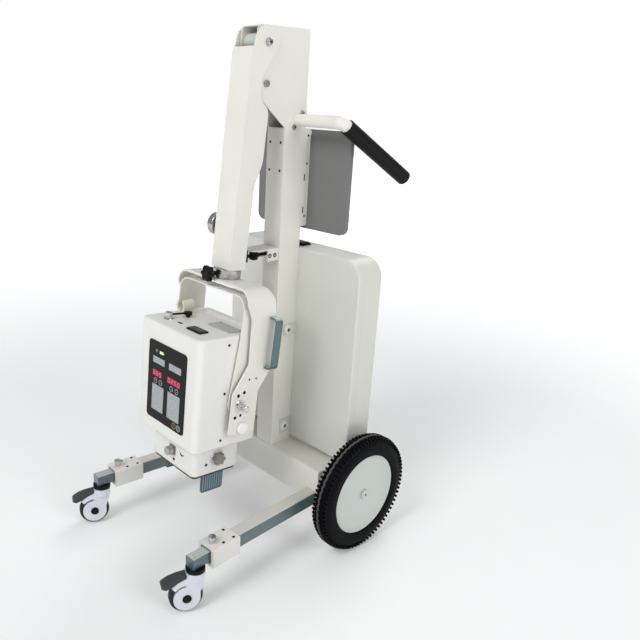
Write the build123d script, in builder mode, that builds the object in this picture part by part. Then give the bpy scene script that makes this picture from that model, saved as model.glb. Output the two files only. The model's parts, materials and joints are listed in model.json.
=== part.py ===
# Mobile stand with a portable x-ray head, in millimetres.
# X runs across the stand, Y runs to the rear and Z up. The origin is on the floor, under the middle
# of the rear axle. The head and the legs are at the front, towards -Y.
from build123d import *
import math
import os

os.makedirs("parts", exist_ok=True)

# Shared walls and gaps
wall = 3.0                  # folded sheet and welded tube
slide_gap = 0.5             # each side, between a telescopic tube and its sleeve
run_gap = 0.3               # at a pin, between parts that turn
seat_gap = 0.3              # between flat faces that move past each other

# Rear wheels and axle
wheel_radius = 150.0
tyre_width = 44.0
tyre_shoulder = 9.0
rim_radius = 102.0
rim_wall = 5.0
rim_width = 36.0
disc_thickness = 4.0
disc_dish = 1.5             # how far the disc sinks towards its rim
rim_lip = 5.5               # width of each of the two rings round the disc
disc_inset = 6.0            # from the tyre's outer side to the disc's face
hub_radius = 24.0
hub_inner_length = 26.0     # hub, from the disc towards the stand
cap_radius = 11.0
cap_length = 5.0
track = 544.0               # between the middles of the two tyres
axle_radius = 8.0

# Base beam across the stand
base_length = 406.0
base_front = -77.0
base_rear = 10.0
base_bottom = 105.0
base_top = 197.0
base_edge = 4.0

# Mast: a square tube that widens into the head box for the arm
mast_width = 57.0
mast_front = -77.0
mast_rear = -10.0
mast_top = 1220.0
neck_drop = 211.0           # from the mast's top to the front wall's
head_box_front = -166.0
head_box_drop = 140.0       # from the mast's top to the head box's slant
head_box_chamfer = 8.0

# Arm pivot and the swing arm, measured along the arm (down) and square to it (forward)
pivot_y = -140.0
pivot_drop = 34.0           # below the mast's top
lower_bolt_drop = 118.0
lower_bolt_y = -138.0
pivot_pin_radius = 6.0
bolt_head_radius = 8.0
bolt_head_height = 5.0
roller_radius = 20.0
arm_lean = 6.3
arm_length = 497.0
arm_side_gap = 2.5          # between the mast's side and the arm's side plate
arm_front = 41.0            # front face, forward of the pivot
arm_boss_radius = 35.0
arm_web_start = 26.0
arm_box_length = 179.0      # lower stretch that is closed at the rear
arm_taper_length = 78.0     # its rear edge runs in above that
arm_end_lip = 6.0
arm_wide_rear = -23.0
arm_narrow_rear = -5.5
arm_waist_rear = 5.0        # beside the lower bolt
arm_waist_start = 72.0      # these three down from the pivot
arm_waist_end = 106.0
arm_wide_start = 150.0
swivel_forward = 19.5       # swivel axis, forward of the pivot

# Swivel collar and yoke, measured from the top of the yoke down its axis
collar_radius = 33.0
collar_height = 22.5
swivel_pin_radius = 10.0
clamp_knob_radius = 16.5
clamp_knob_lobes = 6
clamp_knob_stem = 4.5
clamp_knob_start = 46.0     # from the swivel axis to the knob
clamp_knob_height = 18.0
clamp_knob_rise = 17.5      # above the yoke's top
clamp_knob_turn = 46.0      # from -X towards the front
side_knob_up = 95.0         # along the arm, from its end
side_knob_radius = 27.0
side_knob_height = 20.0
side_knob_stem = 8.0
yoke_plate = 5.0
yoke_side_gap = 14.0        # between the head and the yoke's cheek
yoke_corner = 34.0
yoke_over_bow = 17.9983     # from the bow's top to the yoke's
yoke_foot = 73.0017         # from the tilt axis to the yoke's lower end
tilt_forward = 35.7141      # of the swivel axis
tilt_pin_radius = 7.0
tilt_nut_radius = 9.0
tilt_nut_height = 16.0
tilt_pin_depth = 10.0       # into the head
yoke_outline_radius = 8.0
yoke_foot_front = -57.0      # of the swivel axis, as are the next two
yoke_foot_rear = 18.0
yoke_knob_rear = -23.0
yoke_foot_height = 100.0
yoke_flare_front = 166.0    # above the lower end, where the front edge flares
yoke_flare_rear = 150.0
yoke_knob_up = 17.0
yoke_knob_radius = 12.0
yoke_knob_height = 9.0
yoke_grip_rear = 36.0
yoke_grip_top = 62.0
yoke_grip_height = 122.0
yoke_grip_width = 20.0
yoke_grip_reach = 24.0
yoke_grip_strap = 4.0

# Carrying bow of the head
bow_plate = 3.5
bow_side_gap = 3.0          # between the head and the bow's cheek
bow_corner = 30.0
bow_clear = 87.0            # from the head's top to the bow's
bow_width = 34.0
bow_foot = 22.0
bow_top_front = 6.0         # front edge of its upper part, forward of the tilt axis
bow_taper = 150.0           # from here down it widens to its foot

# Head, measured from the tilt axis in the head's own leaning frame
head_lean = 4.0
head_width = 232.0
head_front = -108.0
head_depth = 186.0
head_top = 160.0
head_height = 267.0
head_corner = 16.0
head_edge = 5.0
head_ridge_width = 180.0
head_ridge_depth = 22.0
head_ridge_height = 6.0
head_ridge_inset = 6.0      # from the head's rear
panel_width = 150.0
panel_top_margin = 44.0
panel_bottom_margin = 31.0
panel_corner = 9.0
panel_thickness = 1.5
collimator_width = 171.0
collimator_front = -80.0
collimator_depth = 136.0
collimator_height = 79.0
collimator_corner = 14.0
base_plate_width = 152.0      # dark plate under the collimator
base_plate_depth = 118.0
base_plate_height = 3.5
base_plate_corner = 10.0
blade_gap = 146.0           # between the two blades
blade_middle = -14.0
blade_width = 64.0
blade_height = 49.5
blade_thickness = 4.0
blade_corner = 6.0
collimator_knob_radius = 13.0
# Fittings on the head's top: across, to the rear of the tilt axis
connector_places = ((-62, -68), (92, 40))
connector_radius = 8.0
connector_height = 16.0
clip_place = (-88, -1.5)
clip_radius = 17.0
clip_bore = 11.0
clip_width = 31.0
clip_stem = 2.0
clip_post_width = 12.0
lever_rise = 10.0
lever_rod_radius = 2.5
lever_end = (-54, -18)
lever_knob_radius = 10.0
lever_knob_top = 14.0
lever_knob_height = 8.5
lever_stem_radius = 5.0
inlet_place = (46, -64)
inlet_size = (52, 26)
service_plate_place = (55, 8)
service_plate_size = (82, 40)

# Legs: they spread towards the front
leg_root_x = 182.0
leg_splay = 3.7
leg_inset = 20.0            # of the tube's cut end, behind the base's front
leg_width = 34.0
leg_height = 35.0
leg_bottom = 105.0
block_start = 270.0         # along the leg, from the base's front
block_length = 78.0
block_width = 53.0
block_height = 46.0
block_edge = 4.0
stub_reach = 46.0           # how far the inner tube stands out of the block
stub_inside = 210.0
ring_radius = 22.0
ring_height = 9.5
ring_setback = 16.0         # swivel axis, behind the inner tube's front end

# Casters, turned a little inwards as they park
caster_turn = -23.0         # of the wheel's axle, from +X
caster_radius = 38.0
caster_width = 20.0
caster_trail = 22.0
fork_width = 32.0
cover_radius = 30.0         # round side covers of the wheel
slot_radius = 34.5          # outer side of the gap between cover and guard
fork_clearance = 1.5        # beside the wheel
wheel_clearance = 3.0
kingpin_radius = 6.0
kingpin_length = 8.0
caster_pin_radius = 4.0
caster_cap_radius = 10.0
caster_cap_height = 2.0
pedal_width = 26.0
# Side outline of the fork: to the rear of the wheel's axle, and up from it
fork_outline = (
    (41, 60), (3, 60), (-1, 50), (-20, 41.5), (-33, 31), (-26, 24), (-2, 20), (0, 0), (27, -8),
    (33, 22), (39, 39))
pedal_outline = (
    (4, 55), (-22, 51), (-38, 46), (-52, 38), (-55, 33), (-45, 28), (-33, 33), (-20, 41), (4, 48))

# Storage case behind the mast
case_width = 456.0
case_bottom = 208.0
case_top = 722.0
case_corner = 48.0
pan_depth = 20.0
cover_depth = 65.0
case_wall = 3.0
case_cover_edge = 12.0
case_hinge_radius = 3.5
case_hinge_pin = 1.5
case_hinge_length = 60.0
case_hinge_place = 130.0    # from the middle to each hinge
case_tab_reach = 40.0       # of the tabs that hold the case to the mast's sides
case_tabs_at = ((515, 14), (244, 20))
latch_width = 40.0
latch_length = 30.0
latch_height = 8.0

# Folding tray
tray_width = 306.0
tray_bottom = 768.0
tray_top = 1004.0
tray_hinge_y = 6.0
tray_hinge_z = 1000.0
tray_plate = 2.5
tray_rim = 9.0
tray_corner = 20.0
tray_arm_width = 15.0
tray_arm_depth = 12.0
tray_arm_wall = 2.0
tray_pin_radius = 2.5
tray_arm_bottom = 776.0

# Push handles
handle_y = -38.0
handle_drop = 195.0         # below the mast's top
handle_reach = 168.0
handle_radius = 14.0
grip_radius = 17.0
grip_end = (200.0, 150.0, 902.0)
handle_bend = 16.0
grip_start = 15.0           # from the bend's corner
grip_cap = 5.0
flange_thickness = 3.0
flange_pitch = 40.0
flange_width = 31.0
flange_turn = 51.0          # of its long side, from level
# Parking latch
park_up = 24.0              # above the end of the arm
park_reach = 34.0
park_height = 27.0
park_width = 50.0
park_plate_reach = 80.0
park_gap = 5.0              # between the bracket's plate and the arm's catch
park_screw_radius = 4.0
park_screw_length = 78.0
park_knob_start = 48.0
park_knob_radius = 11.0
park_knob_height = 18.0
park_catch_width = 24.0
park_catch_depth = 40.0
park_catch_height = 27.0
park_catch_up = 27.0        # along the arm, from its end

# Heights and lengths that follow from the sizes above
neck_z = mast_top - neck_drop
head_box_slant_z = mast_top - head_box_drop
pivot_z = mast_top - pivot_drop
lower_bolt_z = mast_top - lower_bolt_drop
handle_z = mast_top - handle_drop
arm_end_plate = arm_length - arm_end_lip
arm_box_start = arm_length - arm_box_length
arm_taper_start = arm_box_start - arm_taper_length
side_knob_down = arm_length - side_knob_up
park_catch_down = arm_length - park_catch_up
park_z = pivot_z - arm_length + park_up
panel_top = head_top - panel_top_margin
panel_bottom = head_top - head_height + panel_bottom_margin
bow_rise = head_top + bow_clear
bow_half_width = head_width / 2 + bow_side_gap + bow_plate
yoke_half_width = head_width / 2 + yoke_side_gap + yoke_plate
tilt_drop = bow_rise + yoke_over_bow
yoke_length = tilt_drop + yoke_foot
# Side outline of the yoke: to the rear of the swivel axis, and up from its top
yoke_outline = (
    (-42, 3), (-40, -34), (-24, -66), (-18, yoke_flare_front - yoke_length),
    (yoke_foot_front, yoke_foot_height - yoke_length), (yoke_foot_front, -yoke_length),
    (yoke_foot_rear, -yoke_length), (yoke_foot_rear - 2, yoke_foot_height - yoke_length),
    (47, yoke_flare_rear - yoke_length), (46, -62), (38, -24), (27, 3))
yoke_knob_place = (yoke_knob_rear, yoke_knob_up - yoke_length)

# Frames of reference
def side_view(y, z, lean=0.0):
    """Plane with its first axis to the rear and its second up, leaning to the rear by lean."""
    c = math.cos(math.radians(lean))
    s = math.sin(math.radians(lean))
    return Plane(origin=(0, y, z), x_dir=(0, c, -s), z_dir=(1, 0, 0))


def front_view(y, z, lean=0.0):
    """Plane with its first axis along X and its second up, its normal to the front."""
    c = math.cos(math.radians(lean))
    s = math.sin(math.radians(lean))
    return Plane(origin=(0, y, z), x_dir=(1, 0, 0), z_dir=(0, -c, s))


def top_view(y, z, lean=0.0):
    """Plane with its first axis along X and its second to the rear, its normal up."""
    c = math.cos(math.radians(lean))
    s = math.sin(math.radians(lean))
    return Plane(origin=(0, y, z), x_dir=(1, 0, 0), z_dir=(0, s, c))


def leaning(origin_y, origin_z, lean, rear, up):
    """Point of the stand's frame that lies at (rear, up) in a leaning side view."""
    c = math.cos(math.radians(lean))
    s = math.sin(math.radians(lean))
    return origin_y + rear * c + up * s, origin_z - rear * s + up * c


def outward(x, y, z, end):
    """Upright plane at a point, its normal along +X for end 1 and along -X for end -1."""
    return Plane(origin=(x, y, z), x_dir=(0, 1, 0), z_dir=(end, 0, 0))


def rear_view(y):
    """Upright plane across the stand at y, its normal to the rear and its second axis up."""
    return Plane(origin=(0, y, 0), x_dir=(-1, 0, 0), z_dir=(0, 1, 0))


pieces = {}


# Rear wheels
def build_wheel(side):
    """Tyre and disc of one rear wheel; side is 1 for +X and -1 for -X."""
    axis = Plane(origin=(side * track / 2, 0, wheel_radius), x_dir=(side, 0, 0), z_dir=(0, -side, 0))
    half = tyre_width / 2
    disc_face = half - disc_inset
    with BuildPart() as tyre:
        with BuildSketch(axis):
            with BuildLine():
                Polyline(
                    (-half, rim_radius + 6), (-half + 2, wheel_radius - tyre_shoulder),
                    (-half + tyre_shoulder, wheel_radius - 1), (0, wheel_radius),
                    (half - tyre_shoulder, wheel_radius - 1), (half - 2, wheel_radius - tyre_shoulder),
                    (half, rim_radius + 6), (rim_width / 2, rim_radius), (-rim_width / 2, rim_radius),
                    close=True)
            make_face()
        revolve(axis=Axis(axis.origin, (side, 0, 0)))
    with BuildPart() as disc:
        with BuildSketch(axis):
            with BuildLine():
                Polyline(
                    (disc_face - hub_inner_length, axle_radius + run_gap),
                    (disc_face + 2, axle_radius + run_gap), (disc_face + 2, 0),
                    (disc_face + cap_length, 0), (disc_face + cap_length, cap_radius - 2),
                    (disc_face + cap_length - 2, cap_radius), (disc_face, cap_radius),
                    (disc_face - disc_dish, rim_radius - 2 * rim_lip), (disc_face, rim_radius - 2 * rim_lip + 1),
                    (disc_face, rim_radius - rim_lip), (disc_face - 1, rim_radius - rim_lip + 1),
                    (rim_width / 2, rim_radius - 1), (rim_width / 2, rim_radius),
                    (-rim_width / 2, rim_radius), (-rim_width / 2, rim_radius - rim_wall),
                    (disc_face - disc_thickness - 6, rim_radius - rim_wall),
                    (disc_face - disc_thickness - disc_dish, rim_radius - 2 * rim_lip - rim_wall),
                    (disc_face - disc_thickness, hub_radius),
                    (disc_face - hub_inner_length, hub_radius),
                    close=True)
            make_face()
        revolve(axis=Axis(axis.origin, (side, 0, 0)))
    return tyre, disc


for word, side in (("right", 1), ("left", -1)):
    pieces["tyre_" + word], pieces["wheel_disc_" + word] = build_wheel(side)

# Axle and base beam
axle_half = track / 2 + tyre_width / 2 - disc_inset + 1.5
with BuildPart() as axle:
    with BuildSketch(outward(-axle_half, 0, wheel_radius, 1)):
        Circle(axle_radius)
    extrude(amount=2 * axle_half)
    collar_x = track / 2 + tyre_width / 2 - disc_inset - hub_inner_length - seat_gap
    for end in (1, -1):
        with BuildSketch(outward(end * base_length / 2, 0, wheel_radius, end)):
            Circle(axle_radius + 5)
        extrude(amount=collar_x - base_length / 2)
pieces["axle"] = axle

with BuildPart() as base_beam:
    with BuildSketch(side_view(0, 0)):
        with BuildLine():
            Polyline((base_front, base_bottom), (base_front, base_top), (base_rear, base_top),
                     (base_rear, base_bottom), close=True)
        make_face()
        fillet(vertices(), base_edge)
    extrude(amount=base_length / 2, both=True)
    with BuildSketch(side_view(0, wheel_radius)):
        Circle(axle_radius)
    extrude(amount=base_length, both=True, mode=Mode.SUBTRACT)
pieces["base_beam"] = base_beam

# Mast with its head box
with BuildPart() as mast:
    with BuildSketch(side_view(0, 0)):
        with BuildLine():
            Polyline(
                (mast_front, base_top), (mast_front, neck_z), (head_box_front, head_box_slant_z),
                (head_box_front, mast_top - head_box_chamfer),
                (head_box_front + head_box_chamfer, mast_top), (mast_rear, mast_top),
                (mast_rear, base_top), close=True)
        make_face()
    extrude(amount=mast_width / 2, both=True)
    with BuildSketch(side_view(0, 0)):
        with BuildLine():
            Polyline(
                (mast_front + wall, base_top), (mast_front + wall, neck_z),
                (mast_front - wall, neck_z - wall), (head_box_front - wall, head_box_slant_z - wall),
                (head_box_front - wall, mast_top - wall), (mast_rear - wall, mast_top - wall),
                (mast_rear - wall, base_top), close=True)
        make_face()
    extrude(amount=mast_width / 2 - wall, both=True, mode=Mode.SUBTRACT)
    for bolt_y, bolt_z in ((pivot_y, pivot_z), (lower_bolt_y, lower_bolt_z)):
        with BuildSketch(side_view(bolt_y, bolt_z)):
            Circle(pivot_pin_radius)
        extrude(amount=mast_width, both=True, mode=Mode.SUBTRACT)
pieces["mast"] = mast

# Pivot bolts and the roller between the head box's plates
arm_inner = mast_width / 2 + arm_side_gap
arm_outer = arm_inner + wall
with BuildPart() as pivot_bolts:
    for bolt_y, bolt_z, grip_half in (
            (pivot_y, pivot_z, arm_outer + seat_gap), (lower_bolt_y, lower_bolt_z, mast_width / 2)):
        with BuildSketch(side_view(bolt_y, bolt_z)):
            Circle(pivot_pin_radius)
        extrude(amount=grip_half, both=True)
        for end in (1, -1):
            with BuildSketch(outward(end * grip_half, bolt_y, bolt_z, end)):
                RegularPolygon(bolt_head_radius, 6)
            extrude(amount=bolt_head_height)
pieces["pivot_bolts"] = pivot_bolts

with BuildPart() as pivot_roller:
    with BuildSketch(side_view(pivot_y, pivot_z)):
        Circle(roller_radius)
        Circle(pivot_pin_radius, mode=Mode.SUBTRACT)
    extrude(amount=mast_width / 2 - wall, both=True)
    fillet(pivot_roller.edges().filter_by(GeomType.CIRCLE).group_by(SortBy.RADIUS)[-1], 2)
pieces["pivot_roller"] = pivot_roller

# Swing arm: a channel with a boss round the pivot, open at the rear in its upper part
arm_side = side_view(pivot_y, pivot_z, arm_lean)
end_y, end_z = leaning(pivot_y, pivot_z, arm_lean, -swivel_forward, -arm_length)
with BuildPart() as swing_arm:
    with BuildSketch(arm_side):
        with BuildLine():
            rear_top = Line((22, -24), (-arm_waist_rear, -arm_waist_start))
            Line(rear_top @ 1, (-arm_waist_rear, -arm_waist_end))
            Spline((-arm_waist_rear, -arm_waist_end), (-arm_wide_rear, -arm_wide_start),
                   tangents=((0, -1), (0, -1)))
            Line((-arm_wide_rear, -arm_wide_start), (-arm_wide_rear, -arm_taper_start))
            Spline((-arm_wide_rear, -arm_taper_start), (-arm_narrow_rear, -arm_box_start),
                   tangents=((0, -1), (0, -1)))
            Line((-arm_narrow_rear, -arm_box_start), (-arm_narrow_rear, -arm_length))
            Line((-arm_narrow_rear, -arm_length), (-arm_front, -arm_length))
            Line((-arm_front, -arm_length), (-arm_front, -arm_web_start))
            Line((-arm_front, -arm_web_start), (-arm_boss_radius, 0))
            ThreePointArc((-arm_boss_radius, 0), (0, arm_boss_radius - 0.6), (22, -24))
        make_face()
    extrude(amount=arm_outer, both=True)
    with BuildSketch(arm_side):
        with BuildLine():
            Polyline((-arm_front + wall, arm_boss_radius + wall), (-arm_front + wall, -arm_end_plate),
                     (-arm_narrow_rear - wall, -arm_end_plate), (-arm_narrow_rear - wall, -arm_box_start),
                     (arm_boss_radius + wall, -arm_box_start),
                     (arm_boss_radius + wall, arm_boss_radius + wall), close=True)
        make_face()
    extrude(amount=arm_inner, both=True, mode=Mode.SUBTRACT)
    with BuildSketch(arm_side):
        Circle(pivot_pin_radius + run_gap)
    extrude(amount=2 * arm_outer, both=True, mode=Mode.SUBTRACT)
    with BuildSketch(top_view(end_y, end_z, arm_lean)):
        Circle(swivel_pin_radius)
    extrude(amount=-collar_height + 2)
pieces["swing_arm"] = swing_arm

# Swivel collar on top of the yoke, and its clamp knob
top_y, top_z = leaning(pivot_y, pivot_z, arm_lean, -swivel_forward, -arm_length - collar_height - seat_gap)
with BuildPart() as swivel_collar:
    with BuildSketch(top_view(top_y, top_z, arm_lean)):
        Circle(collar_radius)
        Circle(swivel_pin_radius + run_gap, mode=Mode.SUBTRACT)
    extrude(amount=collar_height)
    chamfer(swivel_collar.edges().filter_by(GeomType.CIRCLE).group_by(SortBy.RADIUS)[-1], 1.5)
pieces["swivel_collar"] = swivel_collar

knob_turn = math.radians(clamp_knob_turn)
knob_y, knob_z = leaning(top_y, top_z, arm_lean, 0, clamp_knob_rise)


def along_knob(distance):
    """Plane square to the clamp knob's axis, at a distance from the swivel axis."""
    front = front_view(0, 0, arm_lean).z_dir
    axis = Vector(-math.cos(knob_turn), 0, 0) + front * math.sin(knob_turn)
    return Plane(origin=Vector(0, knob_y, knob_z) + axis * distance, x_dir=(0, 0, 1), z_dir=axis)


with BuildPart() as clamp_knob:
    with BuildSketch(along_knob(collar_radius - 1)):
        Circle(clamp_knob_stem)
    extrude(amount=clamp_knob_start - collar_radius + 1)
    with BuildSketch(along_knob(clamp_knob_start)):
        Circle(clamp_knob_radius)
        with PolarLocations(clamp_knob_radius + 1, clamp_knob_lobes):
            Circle(4, mode=Mode.SUBTRACT)
    extrude(amount=clamp_knob_height)
    add(swivel_collar.part, mode=Mode.SUBTRACT)
pieces["clamp_knob"] = clamp_knob

arm_middle = (arm_front + arm_narrow_rear) / 2
side_knob_y, side_knob_z = leaning(pivot_y, pivot_z, arm_lean, -arm_middle, -side_knob_down)
with BuildPart() as arm_side_knob:
    with BuildSketch(outward(-arm_outer, side_knob_y, side_knob_z, -1)):
        Circle(7)
    extrude(amount=side_knob_stem)
    with BuildSketch(outward(-arm_outer - side_knob_stem, side_knob_y, side_knob_z, -1)):
        Circle(side_knob_radius)
    extrude(amount=side_knob_height)
    fillet(arm_side_knob.edges().filter_by(GeomType.CIRCLE).group_by(SortBy.RADIUS)[-1], 3)
pieces["arm_side_knob"] = arm_side_knob

# Yoke: one bent plate whose legs step forward to the tilt axis
yoke_side = side_view(top_y, top_z, arm_lean)
tilt_y, tilt_z = leaning(top_y, top_z, arm_lean, -tilt_forward, -tilt_drop)
yoke_inner = yoke_half_width - yoke_plate
with BuildPart() as yoke:
    with BuildSketch(front_view(top_y, top_z, arm_lean)):
        with BuildLine():
            FilletPolyline((-yoke_half_width, -yoke_length), (-yoke_half_width, 0), (yoke_half_width, 0),
                           (yoke_half_width, -yoke_length), radius=yoke_corner)
            Polyline((-yoke_half_width, -yoke_length), (-yoke_inner, -yoke_length))
            FilletPolyline((-yoke_inner, -yoke_length), (-yoke_inner, -yoke_plate),
                           (yoke_inner, -yoke_plate), (yoke_inner, -yoke_length),
                           radius=yoke_corner - yoke_plate)
            Polyline((yoke_half_width, -yoke_length), (yoke_inner, -yoke_length))
        make_face()
    extrude(amount=yoke_length, both=True)
    with BuildSketch(yoke_side):
        with BuildLine():
            Polyline(*yoke_outline, close=True)
        make_face()
        fillet(vertices(), yoke_outline_radius)
    extrude(amount=2 * yoke_half_width, both=True, mode=Mode.INTERSECT)
    with BuildSketch(side_view(tilt_y, tilt_z)):
        Circle(tilt_pin_radius)
    extrude(amount=2 * yoke_half_width, both=True, mode=Mode.SUBTRACT)
pieces["yoke"] = yoke

with BuildPart() as yoke_grip:
    grip_top_y, grip_top_z = leaning(top_y, top_z, arm_lean, yoke_grip_rear, -yoke_grip_top)
    with BuildSketch(front_view(grip_top_y, grip_top_z, arm_lean)):
        with BuildLine():
            reach = yoke_half_width + yoke_grip_reach
            strap = yoke_grip_strap
            FilletPolyline((yoke_half_width, 0), (reach, 0), (reach, -yoke_grip_height),
                           (yoke_half_width, -yoke_grip_height), radius=12)
            Polyline((yoke_half_width, 0), (yoke_half_width, -strap))
            FilletPolyline((yoke_half_width, -strap), (reach - strap, -strap),
                           (reach - strap, -yoke_grip_height + strap),
                           (yoke_half_width, -yoke_grip_height + strap), radius=12 - strap)
            Polyline((yoke_half_width, -yoke_grip_height), (yoke_half_width, -yoke_grip_height + strap))
        make_face()
    extrude(amount=yoke_grip_width / 2, both=True)
pieces["yoke_grip"] = yoke_grip

with BuildPart() as tilt_pins:
    for end in (1, -1):
        with BuildSketch(outward(end * (head_width / 2 - tilt_pin_depth), tilt_y, tilt_z, end)):
            Circle(tilt_pin_radius)
        extrude(amount=yoke_half_width - head_width / 2 + tilt_pin_depth)
        with BuildSketch(outward(end * yoke_half_width, tilt_y, tilt_z, end)):
            Circle(tilt_nut_radius)
        extrude(amount=tilt_nut_height)
pieces["tilt_pins"] = tilt_pins

with BuildPart() as yoke_knob:
    knob_yz = leaning(top_y, top_z, arm_lean, *yoke_knob_place)
    with BuildSketch(outward(-yoke_half_width, *knob_yz, -1)):
        Circle(yoke_knob_radius)
    extrude(amount=yoke_knob_height)
    fillet(yoke_knob.edges().sort_by(Axis.X)[0], 2)
pieces["yoke_knob"] = yoke_knob

# Carrying bow, hinged on the same pins
with BuildPart() as carrying_bow:
    bow_inner = bow_half_width - bow_plate
    with BuildSketch(front_view(tilt_y, tilt_z, arm_lean)):
        with BuildLine():
            FilletPolyline((-bow_half_width, -bow_foot), (-bow_half_width, bow_rise), (bow_half_width, bow_rise),
                           (bow_half_width, -bow_foot), radius=bow_corner)
            Polyline((-bow_half_width, -bow_foot), (-bow_inner, -bow_foot))
            FilletPolyline((-bow_inner, -bow_foot), (-bow_inner, bow_rise - bow_plate),
                           (bow_inner, bow_rise - bow_plate), (bow_inner, -bow_foot),
                           radius=bow_corner - bow_plate)
            Polyline((bow_half_width, -bow_foot), (bow_inner, -bow_foot))
        make_face()
    extrude(amount=bow_rise, both=True)
    with BuildSketch(side_view(tilt_y, tilt_z, arm_lean)):
        with BuildLine():
            Polyline((-bow_foot, 0), (-bow_top_front, bow_taper), (-bow_top_front, bow_rise),
                     (bow_width - bow_top_front, bow_rise), (bow_width - bow_top_front, bow_taper),
                     (bow_foot, 0), close=True)
        make_face()
        Circle(bow_foot)
    extrude(amount=2 * bow_half_width, both=True, mode=Mode.INTERSECT)
    with BuildSketch(side_view(tilt_y, tilt_z)):
        Circle(tilt_pin_radius + run_gap)
    extrude(amount=2 * bow_half_width, both=True, mode=Mode.SUBTRACT)
pieces["carrying_bow"] = carrying_bow

# Head housing, panel and collimator
head_bottom = head_top - head_height
with BuildPart() as head_housing:
    with BuildSketch(top_view(*leaning(tilt_y, tilt_z, head_lean, 0, head_bottom), head_lean)):
        with Locations((0, head_front + head_depth / 2)):
            RectangleRounded(head_width, head_depth, head_corner)
    extrude(amount=head_height)
    fillet(head_housing.faces().sort_by(Axis.Z)[-1].edges(), head_edge)
    fillet(head_housing.faces().sort_by(Axis.Z)[0].edges(), head_edge)
    with BuildSketch(top_view(*leaning(tilt_y, tilt_z, head_lean, 0, head_top), head_lean)):
        with Locations((0, head_front + head_depth - head_ridge_inset - head_ridge_depth / 2)):
            RectangleRounded(head_ridge_width, head_ridge_depth, head_ridge_depth / 3)
    extrude(amount=head_ridge_height)
    head_axis = Axis((0, 0, 0), top_view(0, 0, head_lean).z_dir)
    fillet(head_housing.faces().sort_by(head_axis)[-1].edges(), head_ridge_height / 2)
    for end in (1, -1):
        with BuildSketch(outward(end * head_width / 2, tilt_y, tilt_z, end)):
            Circle(tilt_pin_radius + run_gap)
        extrude(amount=-tilt_pin_depth - run_gap, mode=Mode.SUBTRACT)
pieces["head_housing"] = head_housing

with BuildPart() as control_panel:
    with BuildSketch(front_view(*leaning(tilt_y, tilt_z, head_lean, head_front, 0), head_lean)):
        with Locations((0, (panel_top + panel_bottom) / 2)):
            RectangleRounded(panel_width, panel_top - panel_bottom, panel_corner)
    extrude(amount=panel_thickness)
pieces["control_panel"] = control_panel

collimator_top_yz = leaning(tilt_y, tilt_z, head_lean, 0, head_bottom)
with BuildPart() as collimator:
    with BuildSketch(top_view(*collimator_top_yz, head_lean)):
        with Locations((0, collimator_front + collimator_depth / 2)):
            RectangleRounded(collimator_width, collimator_depth, collimator_corner)
    extrude(amount=-collimator_height)
    fillet(collimator.faces().sort_by(Axis.Z)[0].edges(), 4)
pieces["collimator"] = collimator

base_plate_yz = leaning(tilt_y, tilt_z, head_lean, 0, head_bottom - collimator_height)
with BuildPart() as base_plate:
    with BuildSketch(top_view(*base_plate_yz, head_lean)):
        with Locations((0, collimator_front + collimator_depth / 2)):
            RectangleRounded(base_plate_width, base_plate_depth, base_plate_corner)
    extrude(amount=-base_plate_height)
pieces["base_plate"] = base_plate

blade_top_yz = leaning(tilt_y, tilt_z, head_lean, 0, head_bottom - collimator_height - base_plate_height)
with BuildPart() as field_blades:
    for end in (1, -1):
        with BuildSketch(side_view(*blade_top_yz, head_lean).offset(end * blade_gap / 2)):
            with Locations((blade_middle, -blade_height / 2)):
                Rectangle(blade_width, blade_height)
            fillet(vertices().group_by(Axis.Z)[0], blade_corner)
        extrude(amount=blade_thickness / 2, both=True)
pieces["field_blades"] = field_blades

collimator_middle = head_bottom - collimator_height / 2
collimator_mid_yz = leaning(tilt_y, tilt_z, head_lean, collimator_front, collimator_middle)
side_mid_yz = leaning(tilt_y, tilt_z, head_lean, blade_middle, head_bottom - collimator_height / 2)
with BuildPart() as collimator_knobs:
    with BuildSketch(front_view(*collimator_mid_yz, head_lean)):
        Circle(collimator_knob_radius)
    extrude(amount=20)
    for end in (1, -1):
        with BuildSketch(outward(end * collimator_width / 2, *side_mid_yz, end)):
            Circle(collimator_knob_radius + 1)
        extrude(amount=20)
pieces["collimator_knobs"] = collimator_knobs

# Fittings on top of the head
def on_head(x, rear, up=0.0):
    """Plane on the head's top at a place across and to the rear of the tilt axis."""
    y, z = leaning(tilt_y, tilt_z, head_lean, rear, head_top + up)
    c = math.cos(math.radians(head_lean))
    s = math.sin(math.radians(head_lean))
    return Plane(origin=(x, y, z), x_dir=(1, 0, 0), z_dir=(0, s, c))


with BuildPart() as top_connectors:
    for place in connector_places:
        with BuildSketch(on_head(*place)):
            Circle(connector_radius)
        extrude(amount=connector_height)
        with BuildSketch(on_head(*place)):
            Circle(connector_radius + 3)
        extrude(amount=3)
pieces["top_connectors"] = top_connectors

with BuildPart() as top_lever:
    root = on_head(*connector_places[0], lever_rise).origin
    tip = on_head(*lever_end, lever_rise).origin
    with BuildSketch(Plane(origin=root, z_dir=(tip - root).normalized())):
        Circle(lever_rod_radius)
    extrude(amount=(tip - root).length)
    add(top_connectors.part, mode=Mode.SUBTRACT)
    with BuildSketch(on_head(*lever_end)):
        Circle(lever_stem_radius)
    extrude(amount=lever_rise)
    with BuildSketch(on_head(*lever_end, lever_knob_top)):
        Circle(lever_knob_radius)
    extrude(amount=-lever_knob_height)
    knob_edge = (lever_knob_top - lever_rise - lever_rod_radius) / 2
    knob_rims = top_lever.edges().filter_by(GeomType.CIRCLE).group_by(SortBy.RADIUS)[-1]
    fillet(knob_rims.sort_by(Axis.Z)[-1], knob_edge)
pieces["top_lever"] = top_lever

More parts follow.
